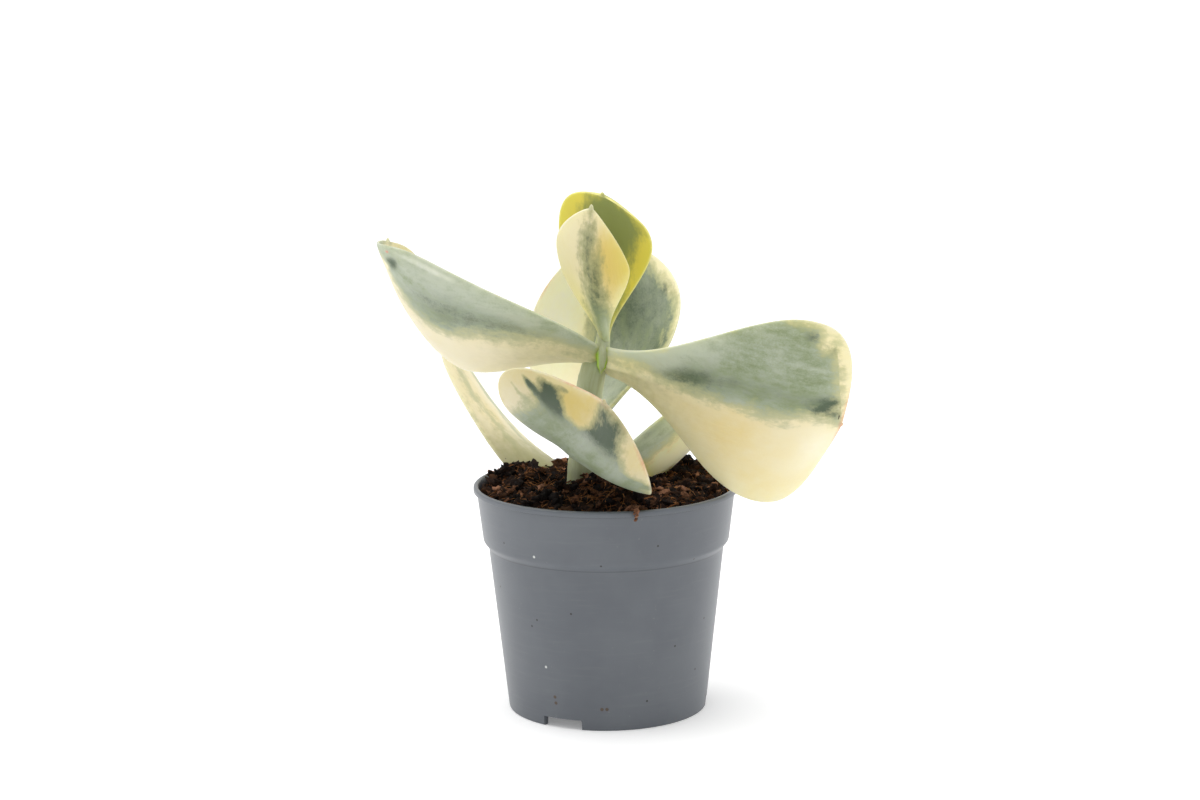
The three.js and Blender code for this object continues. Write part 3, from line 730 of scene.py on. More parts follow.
def plastic_material():
    """Grey moulded plastic: satin, faintly mottled, with flow marks, dust, painted shade in the creases,
    and specks.
    """
    shader = Shader("pot_plastic_grey")
    place = shader.place()
    clouds = shader.noise(place, 28, 4, 0.6)
    drawn = shader.noise(shader.stretch(place, 1, 1, 14), 60, 3, 0.6)
    grain = shader.noise(place, 1800, 3, 0.6)
    body = shader.blend(shader.soften(clouds, 0.3, 0.72), srgb("#545960"), srgb("#5e6369"))
    flow_marks = shader.maths("MULTIPLY", shader.soften(drawn, 0.52, 0.78), 0.07)
    body = shader.blend(flow_marks, body, srgb("#8a8b88"))
    dust = shader.maths("MULTIPLY", shader.soften(shader.noise(place, 420, 5, 0.75), 0.64, 0.74), 0.22)
    body = shader.blend(dust, body, srgb("#a2a09a"))
    height = shader.node("SeparateXYZ", place).outputs["Z"]
    # Painted shade: a dark band in the corner under the lip and another under the collar
    for level in (LIP_FOOT, WALL_TOP):
        away = shader.maths("ABSOLUTE", shader.maths("SUBTRACT", height, (level - CREASE_SHADE_DROP) * MM))
        painted_crease_shade = shader.maths("MULTIPLY", shader.soften(away, CREASE_SHADE_WIDTH * MM, 0), 0.55)
        body = shader.blend(painted_crease_shade, body, srgb("#33363a"))
    for marks in POT_MARKS:
        marked = pot_marks(shader, marks["radius"], marks["pixels"])
        body = shader.blend(marked, body, srgb(marks["colour"]))
    relief = shader.bump(drawn, 0.05, 0.0003)
    relief = shader.bump(grain, 0.12, 0.00012, relief)
    rough = shader.stir(0.38, (clouds, 0.12), (grain, 0.06))
    shader.set(Base_Color=body, Roughness=rough, Normal=relief, Specular_IOR_Level=0.6)
    return shader.material


def peat_material(name, dark, mid, light):
    """Crumbly peat in three browns, set by each crumb's own tone, with a rough fibrous relief."""
    shader = Shader(name)
    place = shader.place()
    coarse = shader.noise(place, 420, 6, 0.7)
    fibrous = shader.noise(shader.stretch(place, 1, 2.6, 1.6), 900, 6, 0.75)
    tone = shader.stir(shader.value_of("tone"), (coarse, 0.7), (fibrous, 0.9))
    body = shader.blend(shader.soften(tone, 0.05, 0.6), srgb(dark), srgb(mid))
    body = shader.blend(shader.soften(tone, 0.6, 1.1), body, srgb(light))
    relief = shader.bump(fibrous, 0.9, 0.0008)
    relief = shader.bump(coarse, 0.6, 0.001, relief)
    shader.set(Base_Color=body, Roughness=0.93, Normal=relief, Specular_IOR_Level=0.25)
    return shader.material


def floor_material():
    """Plain pale floor with the faintest grain."""
    shader = Shader("pale_floor")
    grain = shader.noise(shader.place(), 30, 3)
    shade = shader.blend(grain, (0.95, 0.95, 0.95, 1), (0.97, 0.97, 0.97, 1))
    shader.set(Base_Color=shade, Roughness=0.9, Emission_Color=(1, 1, 1, 1), Emission_Strength=0.2)
    return shader.material


# Leaves

def along(values, s):
    """A value given at the base, the middle and the tip, at the share s of the midrib."""
    base, middle, tip = values
    return base * (1 - s) * (1 - 2 * s) + 4 * middle * s * (1 - s) + tip * s * (2 * s - 1)


def leaf_axes(leaf, s):
    """The midrib's direction, the blade's left-hand direction and its upper normal."""
    heading, rise, roll = (np.radians(along(leaf[key], s)) for key in ("heading", "rise", "roll"))
    forward = np.stack([np.cos(rise) * np.cos(heading), np.cos(rise) * np.sin(heading), np.sin(rise)], -1)
    level = np.stack([-np.sin(heading), np.cos(heading), 0 * heading], -1)
    above = np.cross(forward, level)
    left = level * np.cos(roll)[..., None] + above * np.sin(roll)[..., None]
    return forward, left, np.cross(forward, left)


def midrib(leaf, s):
    """Points on the midrib."""
    steps = (np.arange(MIDRIB_STEPS) + 0.5) / MIDRIB_STEPS
    forward = leaf_axes(leaf, steps)[0] * leaf["length"] / MIDRIB_STEPS
    points = np.array(leaf["base"]) + np.vstack([np.zeros(3), np.cumsum(forward, 0)])
    even = np.linspace(0, 1, MIDRIB_STEPS + 1)
    return np.stack([np.interp(s, even, points[:, i]) for i in range(3)], -1)


def half_width(leaf, side, s):
    """Half the leaf's width on one side: from the petiole to the widest place, then a blunt tip."""
    full = leaf["half_width"][side]
    growth = np.sin(math.pi / 2 * np.minimum(s / leaf["widest"], 1)) ** leaf["taper"][side]
    past = np.clip((s - leaf["widest"]) / (1 - leaf["widest"]), 0, 1)
    power = leaf["bluntness"][side]
    closing = np.maximum(full * (1 - past ** power) ** (1 / power), TIP_HALF_WIDTH)
    return np.where(s < leaf["widest"], full * mix(leaf["petiole"] / full, 1, growth), closing)


def section_turn(leaf, side, s, t):
    """How far the section has turned up at the share t of the half width."""
    fold = math.radians(leaf["fold"][side]) * (1 - s / 2) * smoothstep(t, 0, FOLD_REACH)
    cup_share = mix(BASE_CUP_SHARE, 1, np.sin(math.pi / 2 * np.minimum(s / CUP_FULL_AT, 1)))
    return fold + math.radians(leaf["cup"][side]) * cup_share * t


def half_thickness(leaf, s, t):
    petiole, blade, edge = leaf["thickness"]
    middle = mix(blade, petiole, (1 - s) ** PETIOLE_FADE_POWER)
    return mix(edge, middle, 1 - t ** SECTION_FULLNESS) * (1 - TIP_THINNING * s ** TIP_THINNING_POWER)


def blade_half(leaf, side, s, t):
    """The middle surface of one half of the blade, and its normals."""
    _, left, up = leaf_axes(leaf, s)
    outward = left * (1 if side == 0 else -1)
    between = (t[1:] + t[:-1]) / 2
    turn = section_turn(leaf, side, s[:, None], between[None])
    step = np.diff(t)[None] * half_width(leaf, side, s)[:, None]
    out = np.cumsum(np.cos(turn) * step, 1)
    rise = np.cumsum(np.sin(turn) * step, 1)
    start = np.zeros((len(s), 1))
    out, rise = np.hstack([start, out]), np.hstack([start, rise])
    points = midrib(leaf, s)[:, None] + outward[:, None] * out[..., None] + up[:, None] * rise[..., None]
    here = section_turn(leaf, side, s[:, None], t[None])[..., None]
    normals = up[:, None] * np.cos(here) - outward[:, None] * np.sin(here)
    return points, normals


def margin_rounding(width, t, reach):
    """How much of the margin's thickness is left, so that the margin is round."""
    away = (1 - t)[None] * width[:, None]
    return np.sqrt(np.clip(1 - np.clip(1 - away / reach, 0, 1) ** 2, 0.0004, 1))


def wave(points, seed):
    """A slow uneven swing from -1 to 1 over the blade."""
    shift = Vector((seed, 0, 0))
    values = [noise.noise(Vector(p) / BLADE_WAVE_LENGTH + shift) for p in points.reshape(-1, 3)]
    return np.array(values).reshape(points.shape[:-1])


def leaf_surface(leaf, seed):
    """The leaf's rings of points, left margin to right over the upper face and back below."""
    even = np.linspace(0, 1, LEAF_RINGS + 1)
    s = 1 - (1 - even) ** LEAF_RING_CROWDING
    t = np.sin(math.pi / 2 * np.linspace(0, 1, LEAF_HALF_COLUMNS + 1))
    upper, lower, across = [], [], []
    for side in (0, 1):
        points, normals = blade_half(leaf, side, s, t)
        ripple = BLADE_WAVE * wave(points, seed) * smoothstep(s, *BLADE_WAVE_GROWTH)[:, None]
        points = points + normals * ripple[..., None]
        width = half_width(leaf, side, s)
        round_reach = leaf["thickness"][2] * MARGIN_ROUNDING
        thick = half_thickness(leaf, s[:, None], t[None]) * margin_rounding(width, t, round_reach)
        keel = KEEL_HEIGHT * (1 - s)[:, None] * hump(t[None], 0, KEEL_REACH)
        upper.append(points + normals * thick[..., None])
        lower.append(points - normals * (thick + keel)[..., None])
        across.append(t * (1 if side == 0 else -1))
    left_to_right = [np.hstack([half[0][:, ::-1], half[1][:, 1:]]) for half in (upper, lower)]
    v = np.concatenate([across[0][::-1], across[1][1:]])
    return s, v, left_to_right[0], left_to_right[1]


def zone_depth(leaf, s, v, sides):
    """How deep each place lies inside the green zone, in millimetres, below 0 outside it."""
    rows = np.array(leaf["green"])
    along_line = np.linspace(0, 1, ZONE_STEPS)
    depth = np.full(sides.shape, np.inf)
    inside = np.ones(sides.shape, bool)
    for column, sign in ((1, 1), (2, -1)):
        inside &= (v[None] - np.interp(s, rows[:, 0], rows[:, column])[:, None]) * sign > 0
        line_v = np.interp(along_line, rows[:, 0], rows[:, column])
        widths = np.where(line_v >= 0, half_width(leaf, 0, along_line), half_width(leaf, 1, along_line))
        for line_s, line_x in zip(along_line * leaf["length"], line_v * widths):
            away = np.hypot(v[None] * sides - line_x, s[:, None] * leaf["length"] - line_s)
            depth = np.minimum(depth, away)
    return np.where(inside, depth, -depth)


def leaf_layers(leaf, s, v, middle, seed):
    """The colour layers at each place of the blade."""
    sides = np.where(v[None] >= 0, half_width(leaf, 0, s)[:, None], half_width(leaf, 1, s)[:, None])
    green = zone_depth(leaf, s, v, sides)
    layers = {key: np.full(green.shape, float(leaf["layers"].get(key, 0))) for key in LAYER_NAMES}
    layers["green"] = green
    # Painted light and shade: each leaf's own tone
    layers["tone"] += leaf["tone"]
    for key, patches in leaf["patches"].items():
        for at_s, at_v, reach_s, reach_v, amount in patches:
            width = half_width(leaf, 0 if at_v >= 0 else 1, np.array([at_s]))[0]
            lengthwise = ((s - at_s) * leaf["length"] / reach_s)[:, None]
            across = ((v - at_v) * width / reach_v)[None]
            layers[key] = layers[key] + amount * np.exp(-(lengthwise ** 2 + across ** 2))
    margin = np.vstack([middle[:, 0], middle[:, -1], middle[-1]])
    flat = middle.reshape(-1, 3)
    nearest = np.full(len(flat), np.inf)
    for point in margin:
        nearest = np.minimum(nearest, np.linalg.norm(flat - point, axis=1))
    layers["edge"] = nearest.reshape(green.shape)
    ones = np.ones_like(green)
    lengths = s[:, None] * leaf["length"] * ones
    layers["flow"] = np.stack([v[None] * sides, lengths, seed * FLOW_SHIFT * ones], -1)
    return layers


def end_rings(ring, outward, steps):
    """Smaller copies of a leaf's end ring, each at its own distance out from it."""
    middle = ring.mean(0)
    return [middle + (ring - middle) * share + outward * distance for distance, share in steps]


def make_leaf(name, leaf, seed, material):
    """One leaf: its blade, a foot sunk into the stem and a small point at its tip."""
    s, v, upper, lower = leaf_surface(leaf, seed)
    layers = leaf_layers(leaf, s, v, (upper + lower) / 2, seed)
    blade = np.concatenate([upper, lower[:, ::-1]], 1)
    at_base, at_tip = leaf_axes(leaf, np.array([0.0, 1.0]))[0]
    foot = end_rings(blade[0], -at_base, BASE_RINGS)
    point = end_rings(blade[-1], at_tip, MUCRO_RINGS)
    values = {}
    for key, layer in layers.items():
        both = np.concatenate([layer, layer[:, ::-1]], 1)
        values[key] = np.concatenate([both[:1]] * len(foot) + [both] + [both[-1:]] * len(point))
    rings = np.concatenate([foot, blade, point])
    finish_piece(mesh_piece(name + "_skin", [closed_skin(rings, **values)]), material, "leaf", name)


# Stem

def smooth_line(stops, steps):
    """Points and radii on a smooth line through the stops, at even steps from stop to stop."""
    places = np.array([stop["at"] for stop in stops], float)
    radii = np.array([stop["radius"] for stop in stops], float)
    slopes = np.gradient(places, axis=0)
    points, sizes = [], []
    for k in range(len(stops) - 1):
        last = k == len(stops) - 2
        for u in np.linspace(0, 1, steps + 1)[: steps + 1 if last else steps]:
            h = np.array([2 * u**3 - 3 * u**2 + 1, u**3 - 2 * u**2 + u, 3 * u**2 - 2 * u**3, u**3 - u**2])
            points.append(h[0] * places[k] + h[1] * slopes[k]
                          + h[2] * places[k + 1] + h[3] * slopes[k + 1])
            sizes.append(mix(radii[k], radii[k + 1], u * u * (3 - 2 * u)))
    return np.array(points), np.array(sizes)


def tube(points, radii, sides):
    """Rings of points round a line."""
    tangents = unit(np.gradient(points, axis=0))
    sideways = unit(np.cross(np.array([0.0, 1.0, 0.0]), tangents))
    upward = np.cross(tangents, sideways)
    turn = (2 * math.pi * np.arange(sides) / sides)[None, :, None]
    spokes = sideways[:, None] * np.cos(turn) + upward[:, None] * np.sin(turn)
    return points[:, None] + spokes * np.asarray(radii)[:, None, None]


def bands(heights, rows):
    """Soft bands of colour round the stem, added up."""
    return sum(strength * hump(heights, middle, reach) for middle, reach, strength in rows)


def stem_skin():
    """The stem, with a flow round and along it, bright young bands and scars."""
    points, radii = smooth_line(STEM_LINE, 14)
    girth = 1
    for share, pace in STEM_WAVES:
        girth = girth + share * np.sin(points[:, 2] * pace)
    rings = tube(points, radii * girth, STEM_SIDES)
    heights = rings[..., 2]
    ones = np.ones_like(heights)
    lengths = np.concatenate([[0], np.cumsum(np.linalg.norm(np.diff(points, axis=0), axis=1))])
    turn = 2 * math.pi * (np.arange(STEM_SIDES) / STEM_SIDES)[None]
    flow = [np.cos(turn) * STEM_FLOW_RADIUS * ones, lengths[:, None] * ones,
            np.sin(turn) * STEM_FLOW_RADIUS * ones]
    young = bands(heights, YOUNG_BANDS) + smoothstep(heights, *YOUNG_TOP) * YOUNG_TOP_STRENGTH
    return closed_skin(rings, flow=np.stack(flow, -1), young=young, scar=bands(heights, SCAR_BANDS))


def sheath_skin():
    """The top internode's foot, bright green along its two sides."""
    line, radii = smooth_line(NODE_SHEATH, 8)
    rings = tube(line, radii, STEM_SIDES)
    sideways = np.abs(rings[..., 0] - line[:, None, 0]) / radii[:, None]
    young = smoothstep(sideways, 0.35, 0.8) * smoothstep(rings[..., 2], 118, 115.5)
    return closed_skin(rings, flow=rings * (1, 1, 0.3), young=young, scar=np.zeros_like(young))


def root_skin(root):
    """A root that leaves the stem's foot and curves down in the peat."""
    line, _ = smooth_line(STEM_LINE, 20)
    start = line[np.argmax(line[:, 2] >= root["z"])]
    heading = math.radians(root["heading"])
    share = np.linspace(0, 1, ROOT_RINGS)
    points = np.stack([
        start[0] + math.cos(heading) * root["reach"] * share,
        start[1] + math.sin(heading) * root["reach"] * share,
        root["z"] - root["drop"] * share ** 2,
    ], -1)
    rings = tube(points, mix(ROOT_RADIUS, ROOT_END_RADIUS, smoothstep(share, 0.5, 1)), ROOT_SIDES)
    places = rings.shape[:2]
    return closed_skin(rings, flow=np.zeros_like(rings), young=np.zeros(places), scar=np.ones(places))


def make_stem(material):
    """The stem with the top internode's foot and the roots, joined in one mesh."""
    parts = [stem_skin(), sheath_skin(), *(root_skin(root) for root in ROOTS)]
    finish_piece(mesh_piece("stem_skin", parts), material, "stem_green", "stem")


# Pot

def outer_radius(z):
    heights = [0, WALL_TOP, COLLAR_FOOT, LIP_FOOT]
    return np.interp(z, heights, [FOOT_RADIUS, WALL_TOP_RADIUS, COLLAR_FOOT_RADIUS, COLLAR_TOP_RADIUS])


def inner_radius(z):
    return outer_radius(z) - WALL


def seen_on_pot(pixel):
    """The place on the pot's outside, in millimetres, that the camera sees at a pixel."""
    right, up, back = camera_axes()
    focal = LENS / SENSOR_WIDTH * PHOTO_WIDTH
    ray = right * (pixel[0] - PHOTO_WIDTH / 2) + up * (PHOTO_HEIGHT / 2 - pixel[1]) - back * focal
    nearest = -CAMERA_PLACE[1] - 3 * LIP_RADIUS
    distances = np.arange(nearest, nearest + 5 * LIP_RADIUS, SIGHT_STEP)
    places = np.array(CAMERA_PLACE) + distances[:, None] * np.array(ray.normalized())
    return places[np.argmax(np.hypot(places[:, 0], places[:, 1]) < outer_radius(places[:, 2]))]


def rounded(corners, steps=6):
    """An outline with each corner replaced by a curve that starts the given distance from it."""
    places = [np.array(corner[:2], float) for corner in corners]
    outline = []
    for k, corner in enumerate(corners):
        size = corner[2] if len(corner) > 2 else 0
        if size == 0:
            outline.append(places[k])
            continue
        before, after = places[k - 1] - places[k], places[(k + 1) % len(places)] - places[k]
        start = places[k] + before / np.linalg.norm(before) * size
        end = places[k] + after / np.linalg.norm(after) * size
        for u in np.linspace(0, 1, steps):
            outline.append((1 - u) ** 2 * start + 2 * u * (1 - u) * places[k] + u * u * end)
    return np.array(outline)


def pot_outline():
    """The pot's section as radius and height, from the floor's underside round to its top."""
    foot_inside = FOOT_RADIUS - FOOT_RING_WIDTH
    lip_inside = LIP_RADIUS - LIP_TOP_WIDTH
    wall = [(outer_radius(z), z) for z in [*FOOT_STOPS, *np.linspace(NOTCH_HEIGHT, WALL_TOP - 3, 12)]]
    corners = [
        (0.01, FLOOR_UNDERSIDE),
        (foot_inside, FLOOR_UNDERSIDE, 0.15),
        (foot_inside, 0, 0.3),
        (FOOT_RADIUS, 0, 0.45),
        *wall,
        (WALL_TOP_RADIUS, WALL_TOP, 0.9),
        (COLLAR_FOOT_RADIUS, COLLAR_FOOT, 0.7),
        *((outer_radius(z), z) for z in COLLAR_STOPS),
        (COLLAR_TOP_RADIUS, LIP_FOOT, 0.25),
        (LIP_RADIUS, LIP_FOOT, 0.3),
        (LIP_RADIUS, POT_HEIGHT, 0.75),
        (lip_inside, POT_HEIGHT, 0.5),
        (inner_radius(LIP_FOOT), LIP_FOOT, 0.4),
        (inner_radius(COLLAR_FOOT), COLLAR_FOOT),
        (inner_radius(WALL_TOP), WALL_TOP),
        (inner_radius(FLOOR_TOP), FLOOR_TOP),
        (0.01, FLOOR_TOP),
    ]
    return rounded(corners)


def pot_azimuths():
    """Even azimuths round the pot, with more at the sides of each notch."""
    azimuths = list(np.radians(np.arange(POT_SEGMENTS) * 360 / POT_SEGMENTS))
    for middle in NOTCH_AZIMUTHS:
        for side in (-1, 1):
            for u in np.linspace(-1, 1, NOTCH_CORNER_STEPS):
                azimuths.append(middle + side * (NOTCH_HALF_ANGLE + u * NOTCH_CORNER_ANGLE))
    return np.unique(np.round(np.mod(azimuths, 2 * math.pi), 6))


def notch_lift(azimuths):
    """How far the foot is lifted at each azimuth: the notch's height inside a notch."""
    lift = np.zeros_like(azimuths)
    for middle in NOTCH_AZIMUTHS:
        away = np.abs(np.mod(azimuths - middle + math.pi, 2 * math.pi) - math.pi)
        inside = np.clip((NOTCH_HALF_ANGLE - away) / NOTCH_CORNER_ANGLE, 0, 1)
        curve = np.sqrt(1 - (1 - inside) ** 2)
        share = NOTCH_SIDE_SHARE * (inside > 0) + (1 - NOTCH_SIDE_SHARE) * curve
        lift = np.maximum(lift, NOTCH_HEIGHT * share)
    return np.minimum(lift, NOTCH_HEIGHT)


def make_pot(material):
    """The pot: its outline turned round its axis, with notches in its foot and drain holes."""
    outline = pot_outline()
    azimuths = pot_azimuths()
    radius, height = (np.repeat(outline[:, k, None], len(azimuths), 1) for k in (0, 1))
    raised = np.maximum(height, notch_lift(azimuths)[None])
    outside = (radius > FOOT_RADIUS - FOOT_EDGE) & (height < raised)
    radius = np.where(outside, outer_radius(raised), radius)
    rings = np.stack([radius * np.cos(azimuths), radius * np.sin(azimuths), raised], -1)
    piece = mesh_piece("pot_shell", [closed_skin(rings)], POT_SMOOTH_ANGLE)
    cut_drain_holes(piece)
    finish_piece(piece, material, "pot_plastic", "pot")


def cut_drain_holes(pot):
    """Cuts the four round drain holes through the floor."""
    places = [(0.0, 0.0)]
    for azimuth in NOTCH_AZIMUTHS:
        places.append((DRAIN_CIRCLE * math.cos(azimuth), DRAIN_CIRCLE * math.sin(azimuth)))
    bpy.context.view_layer.objects.active = pot
    for x, y in places:
        middle = placed((x, y, FLOOR_UNDERSIDE + FLOOR_THICKNESS / 2))
        bpy.ops.mesh.primitive_cylinder_add(
            vertices=48, radius=DRAIN_RADIUS * MM, depth=3 * FLOOR_THICKNESS * MM, location=middle)
        drill = bpy.context.active_object
        cut = pot.modifiers.new("drain", "BOOLEAN")
        cut.operation = "DIFFERENCE"
        cut.object = drill
        with bpy.context.temp_override(object=pot, active_object=pot, selected_objects=[pot]):
            bpy.ops.object.modifier_apply(modifier=cut.name)
        bpy.data.objects.remove(drill)


# Soil

SCATTER_I = 127.1
SCATTER_J = 311.7
SCATTER_SCALE = 43758.5453
SOIL_RADIUS = inner_radius(SOIL_EDGE_LEVEL)


def chance(i, j):
    """A repeatable scattered value from 0 to 1 at each whole-numbered place."""
    value = np.sin(i * SCATTER_I + j * SCATTER_J + LUMP_SEED) * SCATTER_SCALE
    return value - np.floor(value)


def smooth_chance(x, y):
    i, j = np.floor(x), np.floor(y)
    u, v = smoothstep(x - i, 0, 1), smoothstep(y - j, 0, 1)
    near = mix(chance(i, j), chance(i + 1, j), u)
    far = mix(chance(i, j + 1), chance(i + 1, j + 1), u)
    return mix(near, far, v)


def swells(rows, x, y):
    """The height that round swells, and hollows where it is below 0, add to the soil."""
    return sum(row["rise"] * hump(np.hypot(x - row["x"], y - row["y"]), 0, row["spread"]) for row in rows)


def soil_height(x, y):
    """The soil's height: a low mound with swells, hollows and two sizes of lumps."""
    radius = np.hypot(x, y) / COLLAR_TOP_RADIUS
    mound = SOIL_EDGE_LEVEL + SOIL_CROWN * np.maximum(0, 1 - radius ** SOIL_CROWN_POWER)
    coarse = smooth_chance(x / LUMP_SIZE, y / LUMP_SIZE) - 0.5
    fine = smooth_chance(2 * x / LUMP_SIZE + FINE_LUMP_SHIFT, 2 * y / LUMP_SIZE) - 0.5
    return mound + swells(SOIL_SWELLS, x, y) + LUMP_HEIGHT * (coarse + fine / 2)


def litter_height(x, y):
    """The height that loose litter lies at: the soil's, with two hollows more."""
    return soil_height(x, y) + swells(SOIL_HOLLOWS, x, y)


def rough_soil_height(x, y):
    """The litter's height with the finer crumbs of its surface."""
    z = litter_height(x, y)
    for size, height in SOIL_ROUGHNESS:
        crumbs = [noise.noise(Vector((a, b, size * 7))) for a, b in zip(x / size, y / size)]
        z = z + height * np.array(crumbs)
    return z


def make_soil_bed(material):
    """The peat's body: its lumpy top, its side along the pot's wall and its flat underside."""
    turn = 2 * math.pi * np.arange(SOIL_SEGMENTS) / SOIL_SEGMENTS
    circle = np.stack([np.cos(turn), np.sin(turn)], -1)
    loops = []
    for z in (FLOOR_TOP + SEAT_GAP, WALL_TOP, COLLAR_FOOT):
        loops.append(np.column_stack([circle * (inner_radius(z) - SEAT_GAP), np.full(len(turn), z)]))
    for k in range(SOIL_RINGS):
        radius = (SOIL_RADIUS - SEAT_GAP) * (1 - k / SOIL_RINGS)
        x, y = (circle * radius).T
        z = rough_soil_height(x, y)
        if k == 0:
            z = np.minimum(z, SOIL_EDGE_LIMIT)
        loops.append(np.column_stack([x, y, z]))
    rings = np.array(loops)
    bed = closed_skin(rings, tone=np.full(rings.shape[:2], SOIL_TONE))
    finish_piece(mesh_piece("soil_bed", [bed]), material, "peat", "soil")


def crumb_shapes(count, subdivisions, chooser):
    """Irregular lumps of about unit size, as points, and the faces that all of them share."""
    bpy.ops.mesh.primitive_ico_sphere_add(subdivisions=subdivisions, radius=1)
    ball = bpy.context.active_object
    round_points = np.array([v.co for v in ball.data.vertices])
    faces = [tuple(face.vertices) for face in ball.data.polygons]
    bpy.data.objects.remove(ball)
    shapes = []
    for _ in range(count):
        shift = Vector([chooser.uniform(0, 50) for _ in range(3)])
        size = 1
        for scale, height in CRUMB_KNOBS:
            swing = [noise.noise(Vector(p) * scale + shift) for p in round_points]
            size = size + height * np.array(swing)
        squash = np.array([chooser.uniform(*share) for share in CRUMB_SIDES])
        shapes.append(round_points * size[:, None] * squash)
    return shapes, faces


def turned(points, chooser):
    """Points turned any way round and tilted at random."""
    turn = Matrix.Rotation(chooser.uniform(0, 2 * math.pi), 3, "Z")
    for axis in ("X", "Y"):
        turn = turn @ Matrix.Rotation(chooser.uniform(-CRUMB_TILT, CRUMB_TILT), 3, axis)
    return points @ np.array(turn).T


def scatter_place(chooser, limit):
    """A random place on the soil, within the limit and off the stem."""
    while True:
        x, y = chooser.uniform(-limit, limit), chooser.uniform(-limit, limit)
        from_stem = math.hypot(x - STEM_AT_SOIL[0], y - STEM_AT_SOIL[1])
        if math.hypot(x, y) < limit and from_stem >= STEM_CLEARANCE:
            return x, y


def make_crumbs(name, count, sizes, subdivisions, tones, chooser, material):
    """Crumbs of peat strewn over the soil's top, joined in one mesh."""
    shapes, faces = crumb_shapes(CRUMB_SHAPES, subdivisions, chooser)
    parts = []
    for _ in range(count):
        size = mix(*sizes, chooser.random() ** SMALL_CRUMB_POWER)
        x, y = scatter_place(chooser, SOIL_RADIUS - CRUMB_MARGIN - size)
        z = litter_height(x, y) + chooser.uniform(*CRUMB_LIFT) * size
        crumb = turned(chooser.choice(shapes), chooser) * size + np.array([x, y, z])
        tone = mix(*tones, chooser.random() ** DARK_CRUMB_POWER)
        parts.append((crumb, faces, dict(tone=np.full(len(crumb), tone))))
    finish_piece(mesh_piece(name, parts), material, "peat")


def make_spill(chooser, material):
    """The bigger lump at the front rim, and the crumbs that hang over the lip."""
    shapes, faces = crumb_shapes(len(SPILLED), 3, chooser)
    parts = []
    for shape, (place, size, tone) in zip(shapes, SPILLED):
        crumb = turned(shape, chooser) * size + np.array(place)
        parts.append((crumb, faces, dict(tone=np.full(len(crumb), tone))))
    finish_piece(mesh_piece("soil_spill", parts), material, "peat")


def make_fibres(name, count, chooser, material):
    """Thin bent root and moss fibres that lie in the peat's top."""
    parts = []
    share = np.linspace(-0.5, 0.5, FIBRE_RINGS)
    bow = (2 * share) ** 2
    for _ in range(count):
        x, y = scatter_place(chooser, SOIL_RADIUS - 2.5)
        length = mix(*FIBRE_LENGTHS, chooser.random() ** 2)
        heading, bend = chooser.uniform(0, 2 * math.pi), chooser.uniform(-FIBRE_BEND, FIBRE_BEND)
        arch = chooser.uniform(*FIBRE_ARCH)
        radius = mix(*FIBRE_RADII, chooser.random() ** 2.5)
        angle = heading + bend * share
        xs = x + np.cumsum(np.cos(angle)) * length / FIBRE_RINGS
        ys = y + np.cumsum(np.sin(angle)) * length / FIBRE_RINGS
        fit = np.minimum(1, (SOIL_RADIUS - FIBRE_MARGIN) / np.hypot(xs, ys))
        xs, ys = xs * fit, ys * fit
        zs = soil_height(xs, ys) + arch * (1 - bow) + FIBRE_LIFT
        rings = tube(np.stack([xs, ys, zs], -1), radius * np.sqrt(1.05 - bow), FIBRE_SIDES)
        tone = np.full(rings.shape[:2], chooser.uniform(*FIBRE_TONES))
        parts.append(closed_skin(rings, tone=tone))
    finish_piece(mesh_piece(name, parts), material, "peat")


# Stage, light and camera

def make_floor():
    """A wide flat floor under the pot."""
    mesh = bpy.data.meshes.new("floor")
    corners = [(x * FLOOR_HALF, y * FLOOR_HALF, 0) for x, y in ((-1, -1), (1, -1), (1, 1), (-1, 1))]
    mesh.from_pydata(corners, [], [(0, 1, 2, 3)])
    mesh.materials.append(floor_material())
    floor = bpy.data.objects.new("floor", mesh)
    bpy.context.scene.collection.objects.link(floor)


def make_lamp():
    """A big soft lamp overhead."""
    light = bpy.data.lights.new("overhead", "AREA")
    light.shape = "DISK"
    light.size = LAMP_SIZE
    light.energy = LAMP_POWER
    lamp = bpy.data.objects.new("overhead", light)
    lamp.location = LAMP_PLACE
    aim = Vector(LAMP_TARGET) - Vector(LAMP_PLACE)
    lamp.rotation_euler = aim.to_track_quat("-Z", "Y").to_euler()
    bpy.context.scene.collection.objects.link(lamp)


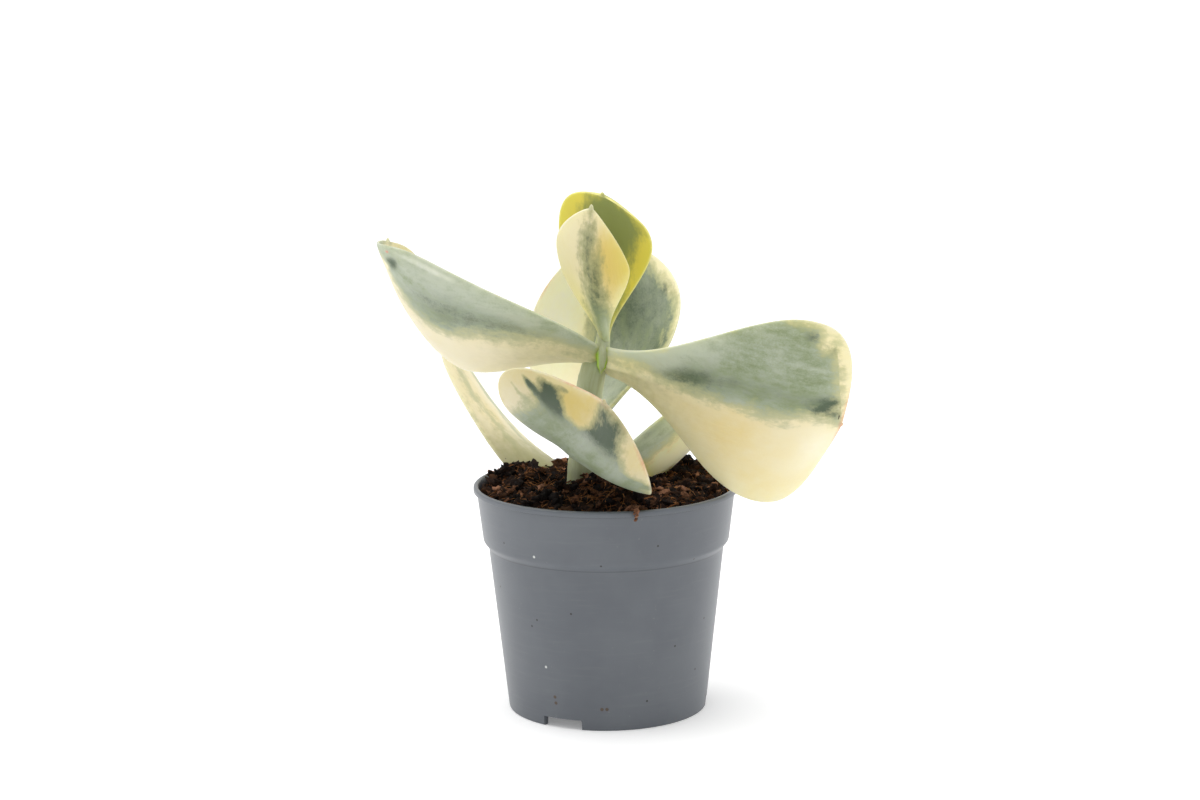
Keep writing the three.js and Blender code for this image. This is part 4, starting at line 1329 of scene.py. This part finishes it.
def make_light():
    """A white studio, dimmer on the side the camera stands on."""
    world = bpy.data.worlds.new("studio")
    bpy.context.scene.world = world
    world.use_nodes = True
    nodes, links = world.node_tree.nodes, world.node_tree.links
    nodes["Background"].inputs["Color"].default_value = (1, 1, 1, 1)
    direction = nodes.new("ShaderNodeSeparateXYZ")
    links.new(nodes.new("ShaderNodeTexCoord").outputs["Generated"], direction.inputs[0])
    strength = nodes.new("ShaderNodeMapRange")
    strength.interpolation_type = "SMOOTHSTEP"
    limits = (*LIGHT_CHANGE, FRONT_LIGHT, STUDIO_LIGHT)
    for name, value in zip(("From Min", "From Max", "To Min", "To Max"), limits):
        strength.inputs[name].default_value = value
    links.new(direction.outputs["Y"], strength.inputs["Value"])
    links.new(strength.outputs[0], nodes["Background"].inputs["Strength"])
    bpy.context.scene.view_settings.view_transform = "Standard"


def camera_axes():
    """The camera's right, up and back: level but for a pitch down and a slight roll."""
    pitch, roll = math.radians(CAMERA_PITCH), math.radians(CAMERA_ROLL)
    right = Vector((1, 0, 0))
    up = Vector((0, math.sin(pitch), math.cos(pitch)))
    rolled_right = right * math.cos(roll) - up * math.sin(roll)
    rolled_up = right * math.sin(roll) + up * math.cos(roll)
    return rolled_right, rolled_up, right.cross(up)


def make_camera():
    """The photograph's camera."""
    turn = Matrix(camera_axes()).transposed().to_4x4()
    camera = bpy.data.cameras.new("camera")
    camera.sensor_width = SENSOR_WIDTH
    camera.lens = LENS
    holder = bpy.data.objects.new("camera", camera)
    holder.matrix_world = Matrix.Translation(Vector(placed(CAMERA_PLACE))) @ turn
    bpy.context.scene.collection.objects.link(holder)
    bpy.context.scene.camera = holder


# The whole

make_camera()
make_light()
make_lamp()
make_floor()
make_pot(plastic_material())

chooser = random.Random(RANDOM_SEED)
peat = peat_material("peat_dark", "#120906", "#54351f", "#a8775a")
make_soil_bed(peat)
make_crumbs("soil_lumps", 120, (1.4, 3.2), 3, (0, 0.6), chooser, peat)
make_crumbs("soil_crumbs", 2300, (0.3, 1.5), 2, (0, 1.1), chooser, peat)
fibre = peat_material("peat_fibre", "#3d2514", "#8a5932", "#c08a58")
make_fibres("soil_fibres", 1500, chooser, fibre)
make_spill(chooser, peat)

make_stem(stem_material())
leaf_skin = leaf_material()
for number, (leaf_name, leaf_shape) in enumerate(LEAVES.items()):
    make_leaf(leaf_name, leaf_shape, number + 1, leaf_skin)
